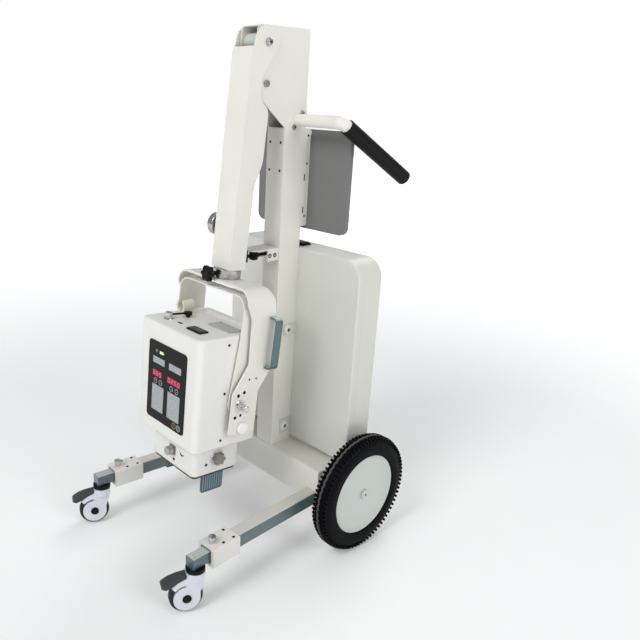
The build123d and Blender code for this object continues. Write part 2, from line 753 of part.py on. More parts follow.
with BuildPart() as switch_clip:
    ring = on_head(*clip_place, clip_stem + clip_radius)
    with BuildSketch(Plane(origin=ring.origin, x_dir=(1, 0, 0), z_dir=(0, -1, 0))):
        Circle(clip_radius)
        with Locations((0, -(clip_radius + clip_stem + wall) / 2)):
            Rectangle(clip_post_width, clip_radius + clip_stem + wall)
        Circle(clip_bore, mode=Mode.SUBTRACT)
        with Locations((0, clip_radius)):
            Rectangle(13, 2 * clip_radius, mode=Mode.SUBTRACT)
    extrude(amount=clip_width / 2, both=True)
    split(bisect_by=on_head(0, 0), keep=Keep.TOP)
pieces["switch_clip"] = switch_clip

with BuildPart() as head_inlet:
    with BuildSketch(on_head(*inlet_place)):
        RectangleRounded(*inlet_size, 3)
    extrude(amount=3)
pieces["head_inlet"] = head_inlet

with BuildPart() as service_plate:
    with BuildSketch(on_head(*service_plate_place)):
        RectangleRounded(*service_plate_size, 3)
    extrude(amount=1.5)
pieces["service_plate"] = service_plate

# Legs, clamp blocks, inner tubes and casters
def leg_frame(side, along):
    """Origin and direction on the middle line of a leg, along it from the base's front."""
    c = math.cos(math.radians(leg_splay))
    s = math.sin(math.radians(leg_splay))
    origin = (side * (leg_root_x + s * along), base_front - c * along, leg_bottom + leg_height / 2)
    return Plane(origin=origin, x_dir=(c, side * s, 0), z_dir=(side * s, -c, 0))


stub_width = leg_width - 2 * wall - 2 * slide_gap
stub_height = leg_height - 2 * wall - 2 * slide_gap
leg_end = block_start + block_length
with BuildPart() as legs:
    for side in (1, -1):
        with BuildSketch(leg_frame(side, -leg_inset)):
            RectangleRounded(leg_width, leg_height, 4)
            Rectangle(leg_width - 2 * wall, leg_height - 2 * wall, mode=Mode.SUBTRACT)
        extrude(amount=leg_end + leg_inset)
    split(bisect_by=Plane(origin=(0, base_front, 0), x_dir=(1, 0, 0), z_dir=(0, -1, 0)), keep=Keep.TOP)
pieces["legs"] = legs

with BuildPart() as leg_blocks:
    for side in (1, -1):
        with BuildSketch(leg_frame(side, block_start)):
            with Locations((0, -1.5)):
                RectangleRounded(block_width, block_height, block_edge)
            RectangleRounded(leg_width, leg_height, 4, mode=Mode.SUBTRACT)
        extrude(amount=block_length)
pieces["leg_blocks"] = leg_blocks

with BuildPart() as leg_locks:
    for side in (1, -1):
        spot = leg_frame(side, block_start + block_length * 0.78)
        with BuildSketch(Plane(origin=(spot.origin.X, spot.origin.Y, spot.origin.Z - 1.5 + block_height / 2))):
            Circle(7)
        extrude(amount=12)
        with BuildSketch(Plane(origin=(spot.origin.X, spot.origin.Y, spot.origin.Z + 10.5 + block_height / 2))):
            Circle(9)
        extrude(amount=4)
pieces["leg_locks"] = leg_locks


def build_caster(side):
    """Inner tube, swivel ring, fork, pedal, pin and wheel of one front corner."""
    reach = leg_end + stub_reach
    with BuildPart() as stub:
        with BuildSketch(leg_frame(side, leg_end - stub_inside)):
            RectangleRounded(stub_width, stub_height, 3)
        extrude(amount=stub_inside + stub_reach)
    swivel = leg_frame(side, reach - ring_setback).origin
    ring_top = leg_bottom + wall + slide_gap
    with BuildPart() as swivel_ring:
        with BuildSketch(Plane(origin=(swivel.X, swivel.Y, ring_top))):
            Circle(ring_radius)
            Circle(kingpin_radius + run_gap, mode=Mode.SUBTRACT)
        extrude(amount=-ring_height)
    turn = math.radians(caster_turn)
    to_rear = Vector(-math.sin(turn), math.cos(turn), 0)
    sideways = Vector(math.cos(turn), math.sin(turn), 0)
    middle = Vector(swivel.X, swivel.Y, caster_radius) - to_rear * caster_trail
    side_plane = Plane(origin=middle, x_dir=to_rear, z_dir=sideways)
    fork_top = ring_top - ring_height - seat_gap
    with BuildPart() as fork:
        with BuildSketch(side_plane):
            with BuildLine():
                Polyline(*fork_outline, close=True)
            make_face()
            Circle(slot_radius, mode=Mode.SUBTRACT)
            with BuildLine():
                Polyline((-2, slot_radius), (30, slot_radius), (cover_radius, -8), (-2, 0), close=True)
            make_face()
            Circle(cover_radius)
        extrude(amount=fork_width / 2, both=True)
        with BuildSketch(Plane(origin=(swivel.X, swivel.Y, fork_top))):
            Circle(ring_radius - 1)
        extrude(amount=caster_radius + wheel_clearance - fork_top + caster_radius)
        with BuildSketch(side_plane):
            Circle(caster_radius + wheel_clearance)
            with Locations((-2 * caster_radius + 6, -caster_radius)):
                Rectangle(4 * caster_radius, 2 * caster_radius)
        extrude(amount=caster_width / 2 + fork_clearance, both=True, mode=Mode.SUBTRACT)
        with BuildSketch(side_plane):
            Circle(caster_pin_radius)
        extrude(amount=fork_width, both=True, mode=Mode.SUBTRACT)
        with BuildSketch(Plane(origin=(swivel.X, swivel.Y, fork_top))):
            Circle(kingpin_radius)
        extrude(amount=kingpin_length)
    with BuildPart() as pedal:
        with BuildSketch(side_plane):
            with BuildLine():
                Polyline(*pedal_outline, close=True)
            make_face()
        extrude(amount=pedal_width / 2, both=True)
        add(fork.part, mode=Mode.SUBTRACT)
    with BuildPart() as pin:
        with BuildSketch(side_plane):
            Circle(caster_pin_radius)
        extrude(amount=fork_width / 2, both=True)
        for end in (1, -1):
            face = Plane(origin=middle + sideways * (end * fork_width / 2), x_dir=to_rear, z_dir=sideways * end)
            with BuildSketch(face):
                Circle(caster_cap_radius)
            extrude(amount=caster_cap_height)
    with BuildPart() as wheel:
        with BuildSketch(side_plane):
            Circle(caster_radius)
            Circle(caster_pin_radius + run_gap, mode=Mode.SUBTRACT)
        extrude(amount=caster_width / 2, both=True)
        fillet(wheel.edges().filter_by(GeomType.CIRCLE).group_by(SortBy.RADIUS)[-1], 5)
    return {"leg_stub": stub, "swivel_ring": swivel_ring, "caster_fork": fork,
            "caster_pedal": pedal, "caster_pin": pin, "caster_wheel": wheel}


for word, side in (("right", 1), ("left", -1)):
    for name, piece in build_caster(side).items():
        pieces[name + "_" + word] = piece

# Storage case: a fixed pan on the mast and a cover that drops open to the rear
pan_front = mast_rear
cover_front = pan_front + pan_depth + seat_gap


def case_outline(inset):
    """Rounded outline of the case, drawn in from its sides by inset."""
    with Locations((0, (case_bottom + case_top) / 2)):
        RectangleRounded(case_width - 2 * inset, case_top - case_bottom - 2 * inset, case_corner - inset)


with BuildPart() as case_pan:
    with BuildSketch(rear_view(pan_front)):
        case_outline(0)
    extrude(amount=pan_depth)
    fillet(case_pan.faces().sort_by(Axis.Y)[0].edges(), 4)
    with BuildSketch(rear_view(pan_front + case_wall)):
        case_outline(case_wall)
    extrude(amount=pan_depth, mode=Mode.SUBTRACT)
pieces["case_pan"] = case_pan

with BuildPart() as case_tabs:
    for tab_z, half_height in case_tabs_at:
        for end in (1, -1):
            with BuildSketch(outward(end * mast_width / 2, mast_rear - case_tab_reach / 2, tab_z, end)):
                Rectangle(case_tab_reach, 2 * half_height)
                fillet(vertices().group_by(Axis.Y)[0], wall)
            extrude(amount=wall)
pieces["case_tabs"] = case_tabs

hinge_y = pan_front + pan_depth + seat_gap / 2
hinge_z = case_bottom - case_hinge_radius
with BuildPart() as cover_hollow:
    with BuildSketch(rear_view(cover_front)):
        case_outline(case_wall)
    extrude(amount=cover_depth - case_wall)
    fillet(cover_hollow.faces().sort_by(Axis.Y)[-1].edges(), case_cover_edge - case_wall)

with BuildPart() as case_cover:
    with BuildSketch(rear_view(cover_front)):
        case_outline(0)
    extrude(amount=cover_depth)
    fillet(case_cover.faces().sort_by(Axis.Y)[-1].edges(), case_cover_edge)
    add(cover_hollow.part, mode=Mode.SUBTRACT)
pieces["case_cover"] = case_cover

# Hinges: two knuckles of the pan hold each one of the cover, with a pin through all three
with BuildPart() as case_hinges:
    for middle in (-case_hinge_place, case_hinge_place):
        for shift in (-1, 1):
            start = middle + shift * (case_hinge_length / 3 + seat_gap) - case_hinge_length / 6
            with BuildSketch(side_view(hinge_y, hinge_z).offset(start)):
                Circle(case_hinge_radius)
                with Locations((-case_hinge_radius, case_hinge_radius / 2)):
                    Rectangle(2 * case_hinge_radius, case_hinge_radius)
            extrude(amount=case_hinge_length / 3)
        with BuildSketch(side_view(hinge_y, hinge_z).offset(middle - case_hinge_length / 2)):
            Circle(case_hinge_pin)
        extrude(amount=case_hinge_length)
pieces["case_hinges"] = case_hinges

with BuildPart() as cover_knuckles:
    for middle in (-case_hinge_place, case_hinge_place):
        with BuildSketch(side_view(hinge_y, hinge_z).offset(middle)):
            Circle(case_hinge_radius)
            with Locations((case_hinge_radius, case_hinge_radius / 2)):
                Rectangle(2 * case_hinge_radius, case_hinge_radius)
            Circle(case_hinge_pin + run_gap, mode=Mode.SUBTRACT)
        extrude(amount=case_hinge_length / 6, both=True)
pieces["cover_knuckles"] = cover_knuckles

# Latch on the cover's top and its keeper on the pan
with BuildPart() as case_latch:
    with BuildSketch(side_view(0, case_top)):
        with BuildLine():
            Polyline((cover_front + 2, 0), (cover_front + 2, latch_height),
                     (cover_front + latch_length - 8, latch_height),
                     (cover_front + latch_length, 2), (cover_front + latch_length, 0), close=True)
        make_face()
    extrude(amount=latch_width / 2, both=True)
pieces["case_latch"] = case_latch

with BuildPart() as latch_keeper:
    with BuildSketch(side_view(0, case_top)):
        with Locations((pan_front + pan_depth / 2, latch_height / 4)):
            Rectangle(pan_depth / 2, latch_height / 2)
    extrude(amount=latch_width / 2 - 4, both=True)
pieces["latch_keeper"] = latch_keeper

# Folding tray: its two arms hinge at the top of two channels on the mast
tray_ear = tray_arm_depth / 2
tray_rear = tray_hinge_y + tray_ear
shelf_arm_width = tray_arm_width - 2 * (tray_arm_wall + seat_gap)
tray_arm_x = mast_width / 2 - tray_arm_width / 2
with BuildPart() as tray_wall_arms:
    for end in (1, -1):
        with BuildSketch(side_view(0, 0).offset(end * tray_arm_x)):
            with BuildLine():
                Polyline((mast_rear, tray_arm_bottom), (mast_rear, tray_hinge_z + tray_ear),
                         (tray_hinge_y, tray_hinge_z + tray_ear), (tray_rear, tray_hinge_z),
                         (tray_rear, tray_hinge_z - tray_ear),
                         (tray_hinge_y - tray_ear, tray_hinge_z - 4 * tray_ear),
                         (tray_hinge_y - tray_ear, tray_arm_bottom), close=True)
            make_face()
            with Locations((tray_hinge_y, tray_hinge_z)):
                Circle(tray_pin_radius + run_gap, mode=Mode.SUBTRACT)
        extrude(amount=tray_arm_width / 2, both=True)
        with BuildSketch(side_view(0, 0).offset(end * tray_arm_x)):
            with Locations((mast_rear + tray_arm_wall + tray_arm_depth,
                            (tray_arm_bottom + tray_hinge_z) / 2)):
                Rectangle(2 * tray_arm_depth, tray_hinge_z - tray_arm_bottom + 8 * tray_ear)
        extrude(amount=tray_arm_width / 2 - tray_arm_wall, both=True, mode=Mode.SUBTRACT)
pieces["tray_wall_arms"] = tray_wall_arms

with BuildPart() as tray_shelf_arms:
    for end in (1, -1):
        with BuildSketch(side_view(0, 0).offset(end * tray_arm_x)):
            with BuildLine():
                Polyline((tray_rear, tray_arm_bottom), (tray_rear, tray_hinge_z),
                         (tray_hinge_y - tray_ear, tray_hinge_z),
                         (tray_hinge_y - tray_ear, tray_hinge_z - 2 * tray_ear),
                         (tray_hinge_y - tray_ear + seat_gap + tray_arm_wall, tray_arm_bottom), close=True)
            make_face()
            with Locations((tray_hinge_y, tray_hinge_z)):
                Circle(tray_ear)
        extrude(amount=shelf_arm_width / 2, both=True)
        with BuildSketch(side_view(tray_hinge_y, tray_hinge_z).offset(end * tray_arm_x)):
            Circle(tray_pin_radius)
        extrude(amount=tray_arm_width / 2 + 1, both=True)
pieces["tray_shelf_arms"] = tray_shelf_arms

tray_height = tray_top - tray_bottom
with BuildPart() as tray:
    with BuildSketch(rear_view(tray_rear)):
        with Locations((0, (tray_top + tray_bottom) / 2)):
            Rectangle(tray_width, tray_height)
        fillet(vertices(), tray_corner)
    extrude(amount=tray_plate + tray_rim)
    with BuildSketch(rear_view(tray_rear + tray_plate)):
        with Locations((0, (tray_top + tray_bottom) / 2)):
            Rectangle(tray_width - 2 * tray_plate, tray_height - 2 * tray_plate)
        fillet(vertices(), tray_corner - tray_plate)
    extrude(amount=2 * tray_rim, mode=Mode.SUBTRACT)
pieces["tray"] = tray

# Push handles: a bent tube from a flange on each side of the mast, with a rubber grip
with BuildPart() as handle_tubes:
    for end in (1, -1):
        with BuildLine():
            FilletPolyline((end * mast_width / 2, handle_y, handle_z), (end * handle_reach, handle_y, handle_z),
                           (end * grip_end[0], grip_end[1], grip_end[2]), radius=handle_bend)
        with BuildSketch(outward(end * mast_width / 2, handle_y, handle_z, end)):
            Circle(handle_radius)
        sweep()
        with BuildSketch(outward(end * mast_width / 2, handle_y, handle_z, end)):
            SlotCenterToCenter(flange_pitch, flange_width, rotation=end * flange_turn)
        extrude(amount=flange_thickness)
pieces["handle_tubes"] = handle_tubes

with BuildPart() as grips:
    for end in (1, -1):
        corner = Vector(end * handle_reach, handle_y, handle_z)
        tip = Vector(end * grip_end[0], grip_end[1], grip_end[2])
        along = (tip - corner).normalized()
        with BuildSketch(Plane(origin=corner + along * grip_start, z_dir=along)):
            Circle(grip_radius)
            Circle(handle_radius, mode=Mode.SUBTRACT)
        extrude(amount=(tip - corner).length - grip_start)
        with BuildSketch(Plane(origin=tip, z_dir=along)):
            Circle(grip_radius)
        extrude(amount=grip_cap)
    fillet(grips.edges().filter_by(GeomType.CIRCLE).sort_by(Axis.Y)[-2:], 4)
pieces["grips"] = grips

# Parking latch: a bracket and a clamping screw on the mast, and their catch on the arm
with BuildPart() as latch_bracket:
    with BuildSketch(side_view(0, 0)):
        with Locations((mast_front - park_reach / 2, park_z)):
            Rectangle(park_reach, park_height)
    extrude(amount=park_width / 2, both=True)
    with BuildSketch(front_view(mast_front - wall, park_z)):
        Rectangle(park_width - 2 * wall, 2 * park_height)
    extrude(amount=park_reach, mode=Mode.SUBTRACT)
    with BuildSketch(top_view(mast_front, park_z + park_height / 2)):
        with Locations((0, -park_plate_reach + park_width / 2)):
            Circle(park_width / 2)
        with Locations((0, (-park_plate_reach + park_width / 2) / 2)):
            Rectangle(park_width, park_plate_reach - park_width / 2)
    extrude(amount=wall)
pieces["latch_bracket"] = latch_bracket

with BuildPart() as latch_screw:
    with BuildSketch(front_view(mast_front - wall, park_z)):
        Circle(park_screw_radius)
    extrude(amount=park_screw_length)
    with BuildSketch(front_view(mast_front - park_knob_start, park_z)):
        Circle(park_knob_radius)
    extrude(amount=park_knob_height)
pieces["latch_screw"] = latch_screw

catch_rear = mast_front - park_plate_reach - park_gap
with BuildPart() as arm_catch:
    with BuildSketch(Plane(origin=(0, 0, park_z + park_height / 2 + wall))):
        with Locations((0, catch_rear - park_catch_depth / 2)):
            Rectangle(park_catch_width, park_catch_depth)
    extrude(amount=-park_catch_height)
    with BuildSketch(arm_side):
        with Locations((-arm_narrow_rear - 50, -park_catch_down)):
            Rectangle(100, 200)
    extrude(amount=park_width, both=True, mode=Mode.SUBTRACT)
pieces["arm_catch"] = arm_catch

for name, piece in pieces.items():
    piece.part.label = name
    export_step(piece.part, "parts/" + name + ".step")
    box = piece.part.bounding_box()
    print(name, piece.part.is_valid, round(piece.part.volume / 1000), box.min, box.max)
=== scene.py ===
"""Dresses the portable x-ray machine: finishes for its CAD nodes, and the fittings too small for them.

Lengths in the classes are in millimetres in the CAD model's frame; the meshes are made in metres.
"""

import json
import logging
import math
from dataclasses import dataclass, field
from enum import Enum
from typing import Iterable, Optional, Sequence, Union

import bmesh
import bpy
from mathutils import Matrix, Vector


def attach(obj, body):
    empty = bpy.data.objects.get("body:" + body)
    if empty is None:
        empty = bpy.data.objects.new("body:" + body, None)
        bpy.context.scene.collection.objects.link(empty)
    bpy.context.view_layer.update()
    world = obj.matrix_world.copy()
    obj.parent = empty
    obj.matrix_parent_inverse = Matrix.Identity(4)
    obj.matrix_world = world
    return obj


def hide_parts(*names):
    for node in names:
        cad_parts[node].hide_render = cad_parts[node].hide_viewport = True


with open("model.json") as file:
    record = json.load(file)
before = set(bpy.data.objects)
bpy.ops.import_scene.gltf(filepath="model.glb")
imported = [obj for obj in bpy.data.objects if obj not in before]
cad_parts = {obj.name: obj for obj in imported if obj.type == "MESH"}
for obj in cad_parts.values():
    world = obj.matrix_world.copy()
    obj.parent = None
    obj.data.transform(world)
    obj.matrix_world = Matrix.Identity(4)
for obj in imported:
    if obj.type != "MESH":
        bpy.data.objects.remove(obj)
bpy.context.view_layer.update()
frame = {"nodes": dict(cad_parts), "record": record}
log = logging.getLogger("x_ray_stand")

MM = 0.001
Colour = tuple[float, float, float]
Pair = tuple[float, float]
Tree = bpy.types.NodeTree
Socket = bpy.types.NodeSocket
Fed = Union[Socket, float]

CREASE = math.radians(32)        # edges sharper than this are shaded sharp
SOFTENED = math.radians(40)      # edges sharper than this take a soft edge
ON_AXIS = 1e-6
COAT_ROUGHNESS = 0.12
DUST_ROUGHNESS = 0.4
EDGE_GAIN = 7.0                  # how fast wear grows with the bend of an edge
CHIP_SCALE, CHIP_START, CHIP_GAIN = 90.0, 0.42, 5.0
SPOT_SCALE, SPOT_DETAIL, SPOT_GAIN = 22.0, 6.0, 1.5
BRUSH_SCALE = 260.0
# UPWARD_START also sets where the painted top light begins
UPWARD_START = 0.45              # upward part of the normal at which a face counts as a top
FINE_SCALE, FINE_SHARE = 240.0, 0.5


# Places on the machine

@dataclass(frozen=True)
class Seat:
    """A place on a surface: its origin in millimetres and three unit axes, the third pointing outwards."""

    origin: Vector
    across: Vector
    second: Vector
    outward: Vector

    def matrix(self) -> Matrix:
        """Matrix from millimetres at this place to metres in the frame."""
        placed = Matrix.Identity(4)
        for column, axis in enumerate((self.across, self.second, self.outward)):
            for row in range(3):
                placed[row][column] = axis[row] * MM
        for row in range(3):
            placed[row][3] = self.origin[row] * MM
        return placed

    def in_metres(self) -> Matrix:
        """Matrix from metres at this place to metres in the frame."""
        return self.matrix() @ Matrix.Scale(1 / MM, 4)

    def moved(self, a: float = 0.0, b: float = 0.0, out: float = 0.0) -> "Seat":
        """The same place shifted along its own axes.

        Args:
            a: Shift along the first axis, in millimetres.
            b: Shift along the second axis.
            out: Shift outwards.

        Returns:
            The shifted place.
        """
        shift = self.across * a + self.second * b + self.outward * out
        return Seat(self.origin + shift, self.across, self.second, self.outward)

    def turned(self, degrees: float) -> "Seat":
        """The same place turned about its outward axis."""
        turn = Matrix.Rotation(math.radians(degrees), 3, self.outward)
        return Seat(self.origin, turn @ self.across, turn @ self.second, self.outward)

    def euler(self) -> Vector:
        """Rotation of the place as XYZ angles."""
        turn = Matrix((self.across, self.second, self.outward)).transposed()
        return Vector(turn.to_euler())


@dataclass(frozen=True)
class Carrier:
    """A part's own upright or leaning frame, from which its fittings are placed."""

    y: float = 0.0
    z: float = 0.0
    lean: float = 0.0

    def axes(self) -> tuple[Vector, Vector, Vector]:
        """The part's axes: across, to the rear and up."""
        c, s = math.cos(math.radians(self.lean)), math.sin(math.radians(self.lean))
        return Vector((1, 0, 0)), Vector((0, c, -s)), Vector((0, s, c))

    def at(self, x: float, rear: float, up: float) -> Vector:
        """Point of the frame at a place in the part's own axes."""
        across, back, high = self.axes()
        return Vector((0, self.y, self.z)) + across * x + back * rear + high * up

    def front(self, x: float, rear: float, up: float) -> Seat:
        """Place on a face that looks to the front."""
        across, back, high = self.axes()
        return Seat(self.at(x, rear, up), across, high, -back)

    def top(self, x: float, rear: float, up: float) -> Seat:
        """Place on a face that looks up."""
        across, back, high = self.axes()
        return Seat(self.at(x, rear, up), across, back, high)

    def side(self, end: int, x: float, rear: float, up: float) -> Seat:
        """Place on a face that looks along +X for end 1 and along -X for end -1."""
        across, back, high = self.axes()
        return Seat(self.at(x, rear, up), back * end, high, across * end)


WORD_OF: dict[int, str] = {1: "right", -1: "left"}
STAND = Carrier()
ARM = Carrier(-140.0, 1186.0, 6.3)
YOKE = Carrier(-216.42, 671.48, 6.3)
HEAD = Carrier(-281.0, 412.0, 4.0)


# Finishes

class Surface(Enum):
    """Kinds of surface that take their grain differently."""

    SMOOTH = "smooth"
    POWDER = "powder"
    BRUSHED = "brushed"
    MOULDED = "moulded"


ROUGHNESS_SPREAD: dict[Surface, float] = {
    Surface.SMOOTH: 0.1, Surface.POWDER: 0.16, Surface.BRUSHED: 0.22, Surface.MOULDED: 0.1}


def math_node(tree: Tree, operation: str, first: Fed, second: Fed, clamp: bool = False) -> Socket:
    """Adds a math node fed by sockets or plain values and returns its output."""
    node = tree.nodes.new("ShaderNodeMath")
    node.operation = operation
    node.use_clamp = clamp
    for index, value in enumerate((first, second)):
        feed(tree, value, node.inputs[index])
    return node.outputs[0]


def feed(tree: Tree, value: Fed, socket: Socket) -> None:
    """Gives an input a plain value, or links it to an output."""
    if isinstance(value, (int, float)):
        socket.default_value = value
    else:
        tree.links.new(value, socket)


def give(node: bpy.types.Node, values: dict[str, object]) -> None:
    """Sets a node's inputs by name."""
    for label, value in values.items():
        node.inputs[label].default_value = value


def noise_node(tree: Tree, scale: Fed, detail: float = 3.0, stretch: Optional[Vector] = None) -> Socket:
    """Adds a noise texture on object coordinates and returns its value.

    Args:
        tree: Tree that it goes into.
        scale: Its scale.
        detail: Its detail.
        stretch: Scale of the coordinates along each axis, where they are stretched.

    Returns:
        The noise's value.
    """
    place = tree.nodes.new("ShaderNodeTexCoord").outputs["Object"]
    if stretch is not None:
        mapping = tree.nodes.new("ShaderNodeMapping")
        mapping.inputs["Scale"].default_value = stretch
        tree.links.new(place, mapping.inputs["Vector"])
        place = mapping.outputs["Vector"]
    noise = tree.nodes.new("ShaderNodeTexNoise")
    noise.inputs["Detail"].default_value = detail
    tree.links.new(place, noise.inputs["Vector"])
    feed(tree, scale, noise.inputs["Scale"])
    return noise.outputs["Fac"]


def facing_up(tree: Tree) -> Socket:
    """Adds the upward part of the surface's normal and returns it."""
    geometry = tree.nodes.new("ShaderNodeNewGeometry")
    parts = tree.nodes.new("ShaderNodeSeparateXYZ")
    tree.links.new(geometry.outputs["Normal"], parts.inputs[0])
    return parts.outputs["Z"]


class ShaderGroups:
    """Shader node groups that every finish shares; each is made once."""

    def __init__(self) -> None:
        self.edge = self._edge_wear()
        self.grain = self._grain()
        self.dust = self._dust()
        self.mottle = self._mottle()
        self.upward = self._upward()

    @staticmethod
    def _new(name: str, inputs: Sequence[tuple[str, str, float]],
             outputs: Sequence[tuple[str, str]]) -> tuple[Tree, bpy.types.Node, bpy.types.Node]:
        """Starts a group with named sockets.

        Args:
            name: Name of the group.
            inputs: Name, socket type and start value of each input.
            outputs: Name and socket type of each output.

        Returns:
            The tree with its input and output nodes.
        """
        tree = bpy.data.node_groups.new(name, "ShaderNodeTree")
        for label, kind, value in inputs:
            socket = tree.interface.new_socket(label, in_out="INPUT", socket_type=kind)
            if kind == "NodeSocketFloat":
                socket.default_value = value
        for label, kind in outputs:
            tree.interface.new_socket(label, in_out="OUTPUT", socket_type=kind)
        return tree, tree.nodes.new("NodeGroupInput"), tree.nodes.new("NodeGroupOutput")

    def _edge_wear(self) -> Tree:
        """Mask of outer edges broken up by noise, and the normal that rounds them."""
        tree, inner, outer = self._new(
            "edge_wear",
            (("Radius", "NodeSocketFloat", 0.001), ("Amount", "NodeSocketFloat", 0.5)),
            (("Mask", "NodeSocketFloat"), ("Normal", "NodeSocketVector")))
        bevel = tree.nodes.new("ShaderNodeBevel")
        bevel.samples = 4
        tree.links.new(inner.outputs["Radius"], bevel.inputs["Radius"])
        geometry = tree.nodes.new("ShaderNodeNewGeometry")
        dot = tree.nodes.new("ShaderNodeVectorMath")
        dot.operation = "DOT_PRODUCT"
        tree.links.new(bevel.outputs["Normal"], dot.inputs[0])
        tree.links.new(geometry.outputs["Normal"], dot.inputs[1])
        bend = math_node(tree, "SUBTRACT", 1.0, dot.outputs["Value"])
        bend = math_node(tree, "MULTIPLY", bend, EDGE_GAIN, clamp=True)
        broken = math_node(tree, "SUBTRACT", noise_node(tree, CHIP_SCALE), CHIP_START)
        broken = math_node(tree, "MULTIPLY", broken, CHIP_GAIN, clamp=True)
        mask = math_node(tree, "MULTIPLY", bend, broken)
        mask = math_node(tree, "MULTIPLY", mask, inner.outputs["Amount"], clamp=True)
        tree.links.new(mask, outer.inputs["Mask"])
        tree.links.new(bevel.outputs["Normal"], outer.inputs["Normal"])
        return tree

    def _grain(self) -> Tree:
        """Fine relief of a moulded, cast or powder-coated skin."""
        tree, inner, outer = self._new(
            "fine_grain",
            (("Scale", "NodeSocketFloat", 600.0), ("Height", "NodeSocketFloat", 0.1),
             ("Normal", "NodeSocketVector", 0.0)),
            (("Value", "NodeSocketFloat"), ("Normal", "NodeSocketVector")))
        value = noise_node(tree, inner.outputs["Scale"], 4.0)
        bump = tree.nodes.new("ShaderNodeBump")
        bump.inputs["Distance"].default_value = 0.0004
        tree.links.new(inner.outputs["Height"], bump.inputs["Strength"])
        tree.links.new(value, bump.inputs["Height"])
        tree.links.new(inner.outputs["Normal"], bump.inputs["Normal"])
        tree.links.new(value, outer.inputs["Value"])
        tree.links.new(bump.outputs["Normal"], outer.inputs["Normal"])
        return tree

    def _dust(self) -> Tree:
        """Mask of the dust that settles on faces that look up."""
        tree, inner, outer = self._new(
            "settled_dust", (("Amount", "NodeSocketFloat", 0.2),), (("Mask", "NodeSocketFloat"),))
        up = math_node(tree, "MULTIPLY", facing_up(tree), 1.0, clamp=True)
        spots = math_node(tree, "MULTIPLY", noise_node(tree, SPOT_SCALE, SPOT_DETAIL), SPOT_GAIN, clamp=True)
        mask = math_node(tree, "MULTIPLY", up, spots)
        mask = math_node(tree, "MULTIPLY", mask, inner.outputs["Amount"], clamp=True)
        tree.links.new(mask, outer.inputs["Mask"])
        return tree

    def _upward(self) -> Tree:
        """Mask of faces that look up, with a soft change at their edges; it places the painted light on lit
        tops.
        """
        tree, inner, outer = self._new(
            "upward_faces", (("Sharpness", "NodeSocketFloat", 3.0),), (("Mask", "NodeSocketFloat"),))
        up = math_node(tree, "SUBTRACT", facing_up(tree), UPWARD_START)
        mask = math_node(tree, "MULTIPLY", up, inner.outputs["Sharpness"], clamp=True)
        tree.links.new(mask, outer.inputs["Mask"])
        return tree

    def _mottle(self) -> Tree:
        """Slow and fine variation of a colour, as in real coats and mouldings."""
        tree, inner, outer = self._new(
            "mottle",
            (("Colour", "NodeSocketColor", 0.0), ("Amount", "NodeSocketFloat", 0.1),
             ("Scale", "NodeSocketFloat", 8.0)),
            (("Colour", "NodeSocketColor"),))
        slow = noise_node(tree, inner.outputs["Scale"], 2.0)
        fine = noise_node(tree, FINE_SCALE, 2.0)
        both = math_node(tree, "ADD", slow, math_node(tree, "MULTIPLY", fine, FINE_SHARE))
        both = math_node(tree, "SUBTRACT", both, (1 + FINE_SHARE) / 2)
        value = math_node(tree, "ADD", 1.0, math_node(tree, "MULTIPLY", both, inner.outputs["Amount"]))
        shade = tree.nodes.new("ShaderNodeHueSaturation")
        tree.links.new(value, shade.inputs["Value"])
        tree.links.new(inner.outputs["Colour"], shade.inputs["Color"])
        tree.links.new(shade.outputs["Color"], outer.inputs["Colour"])
        return tree


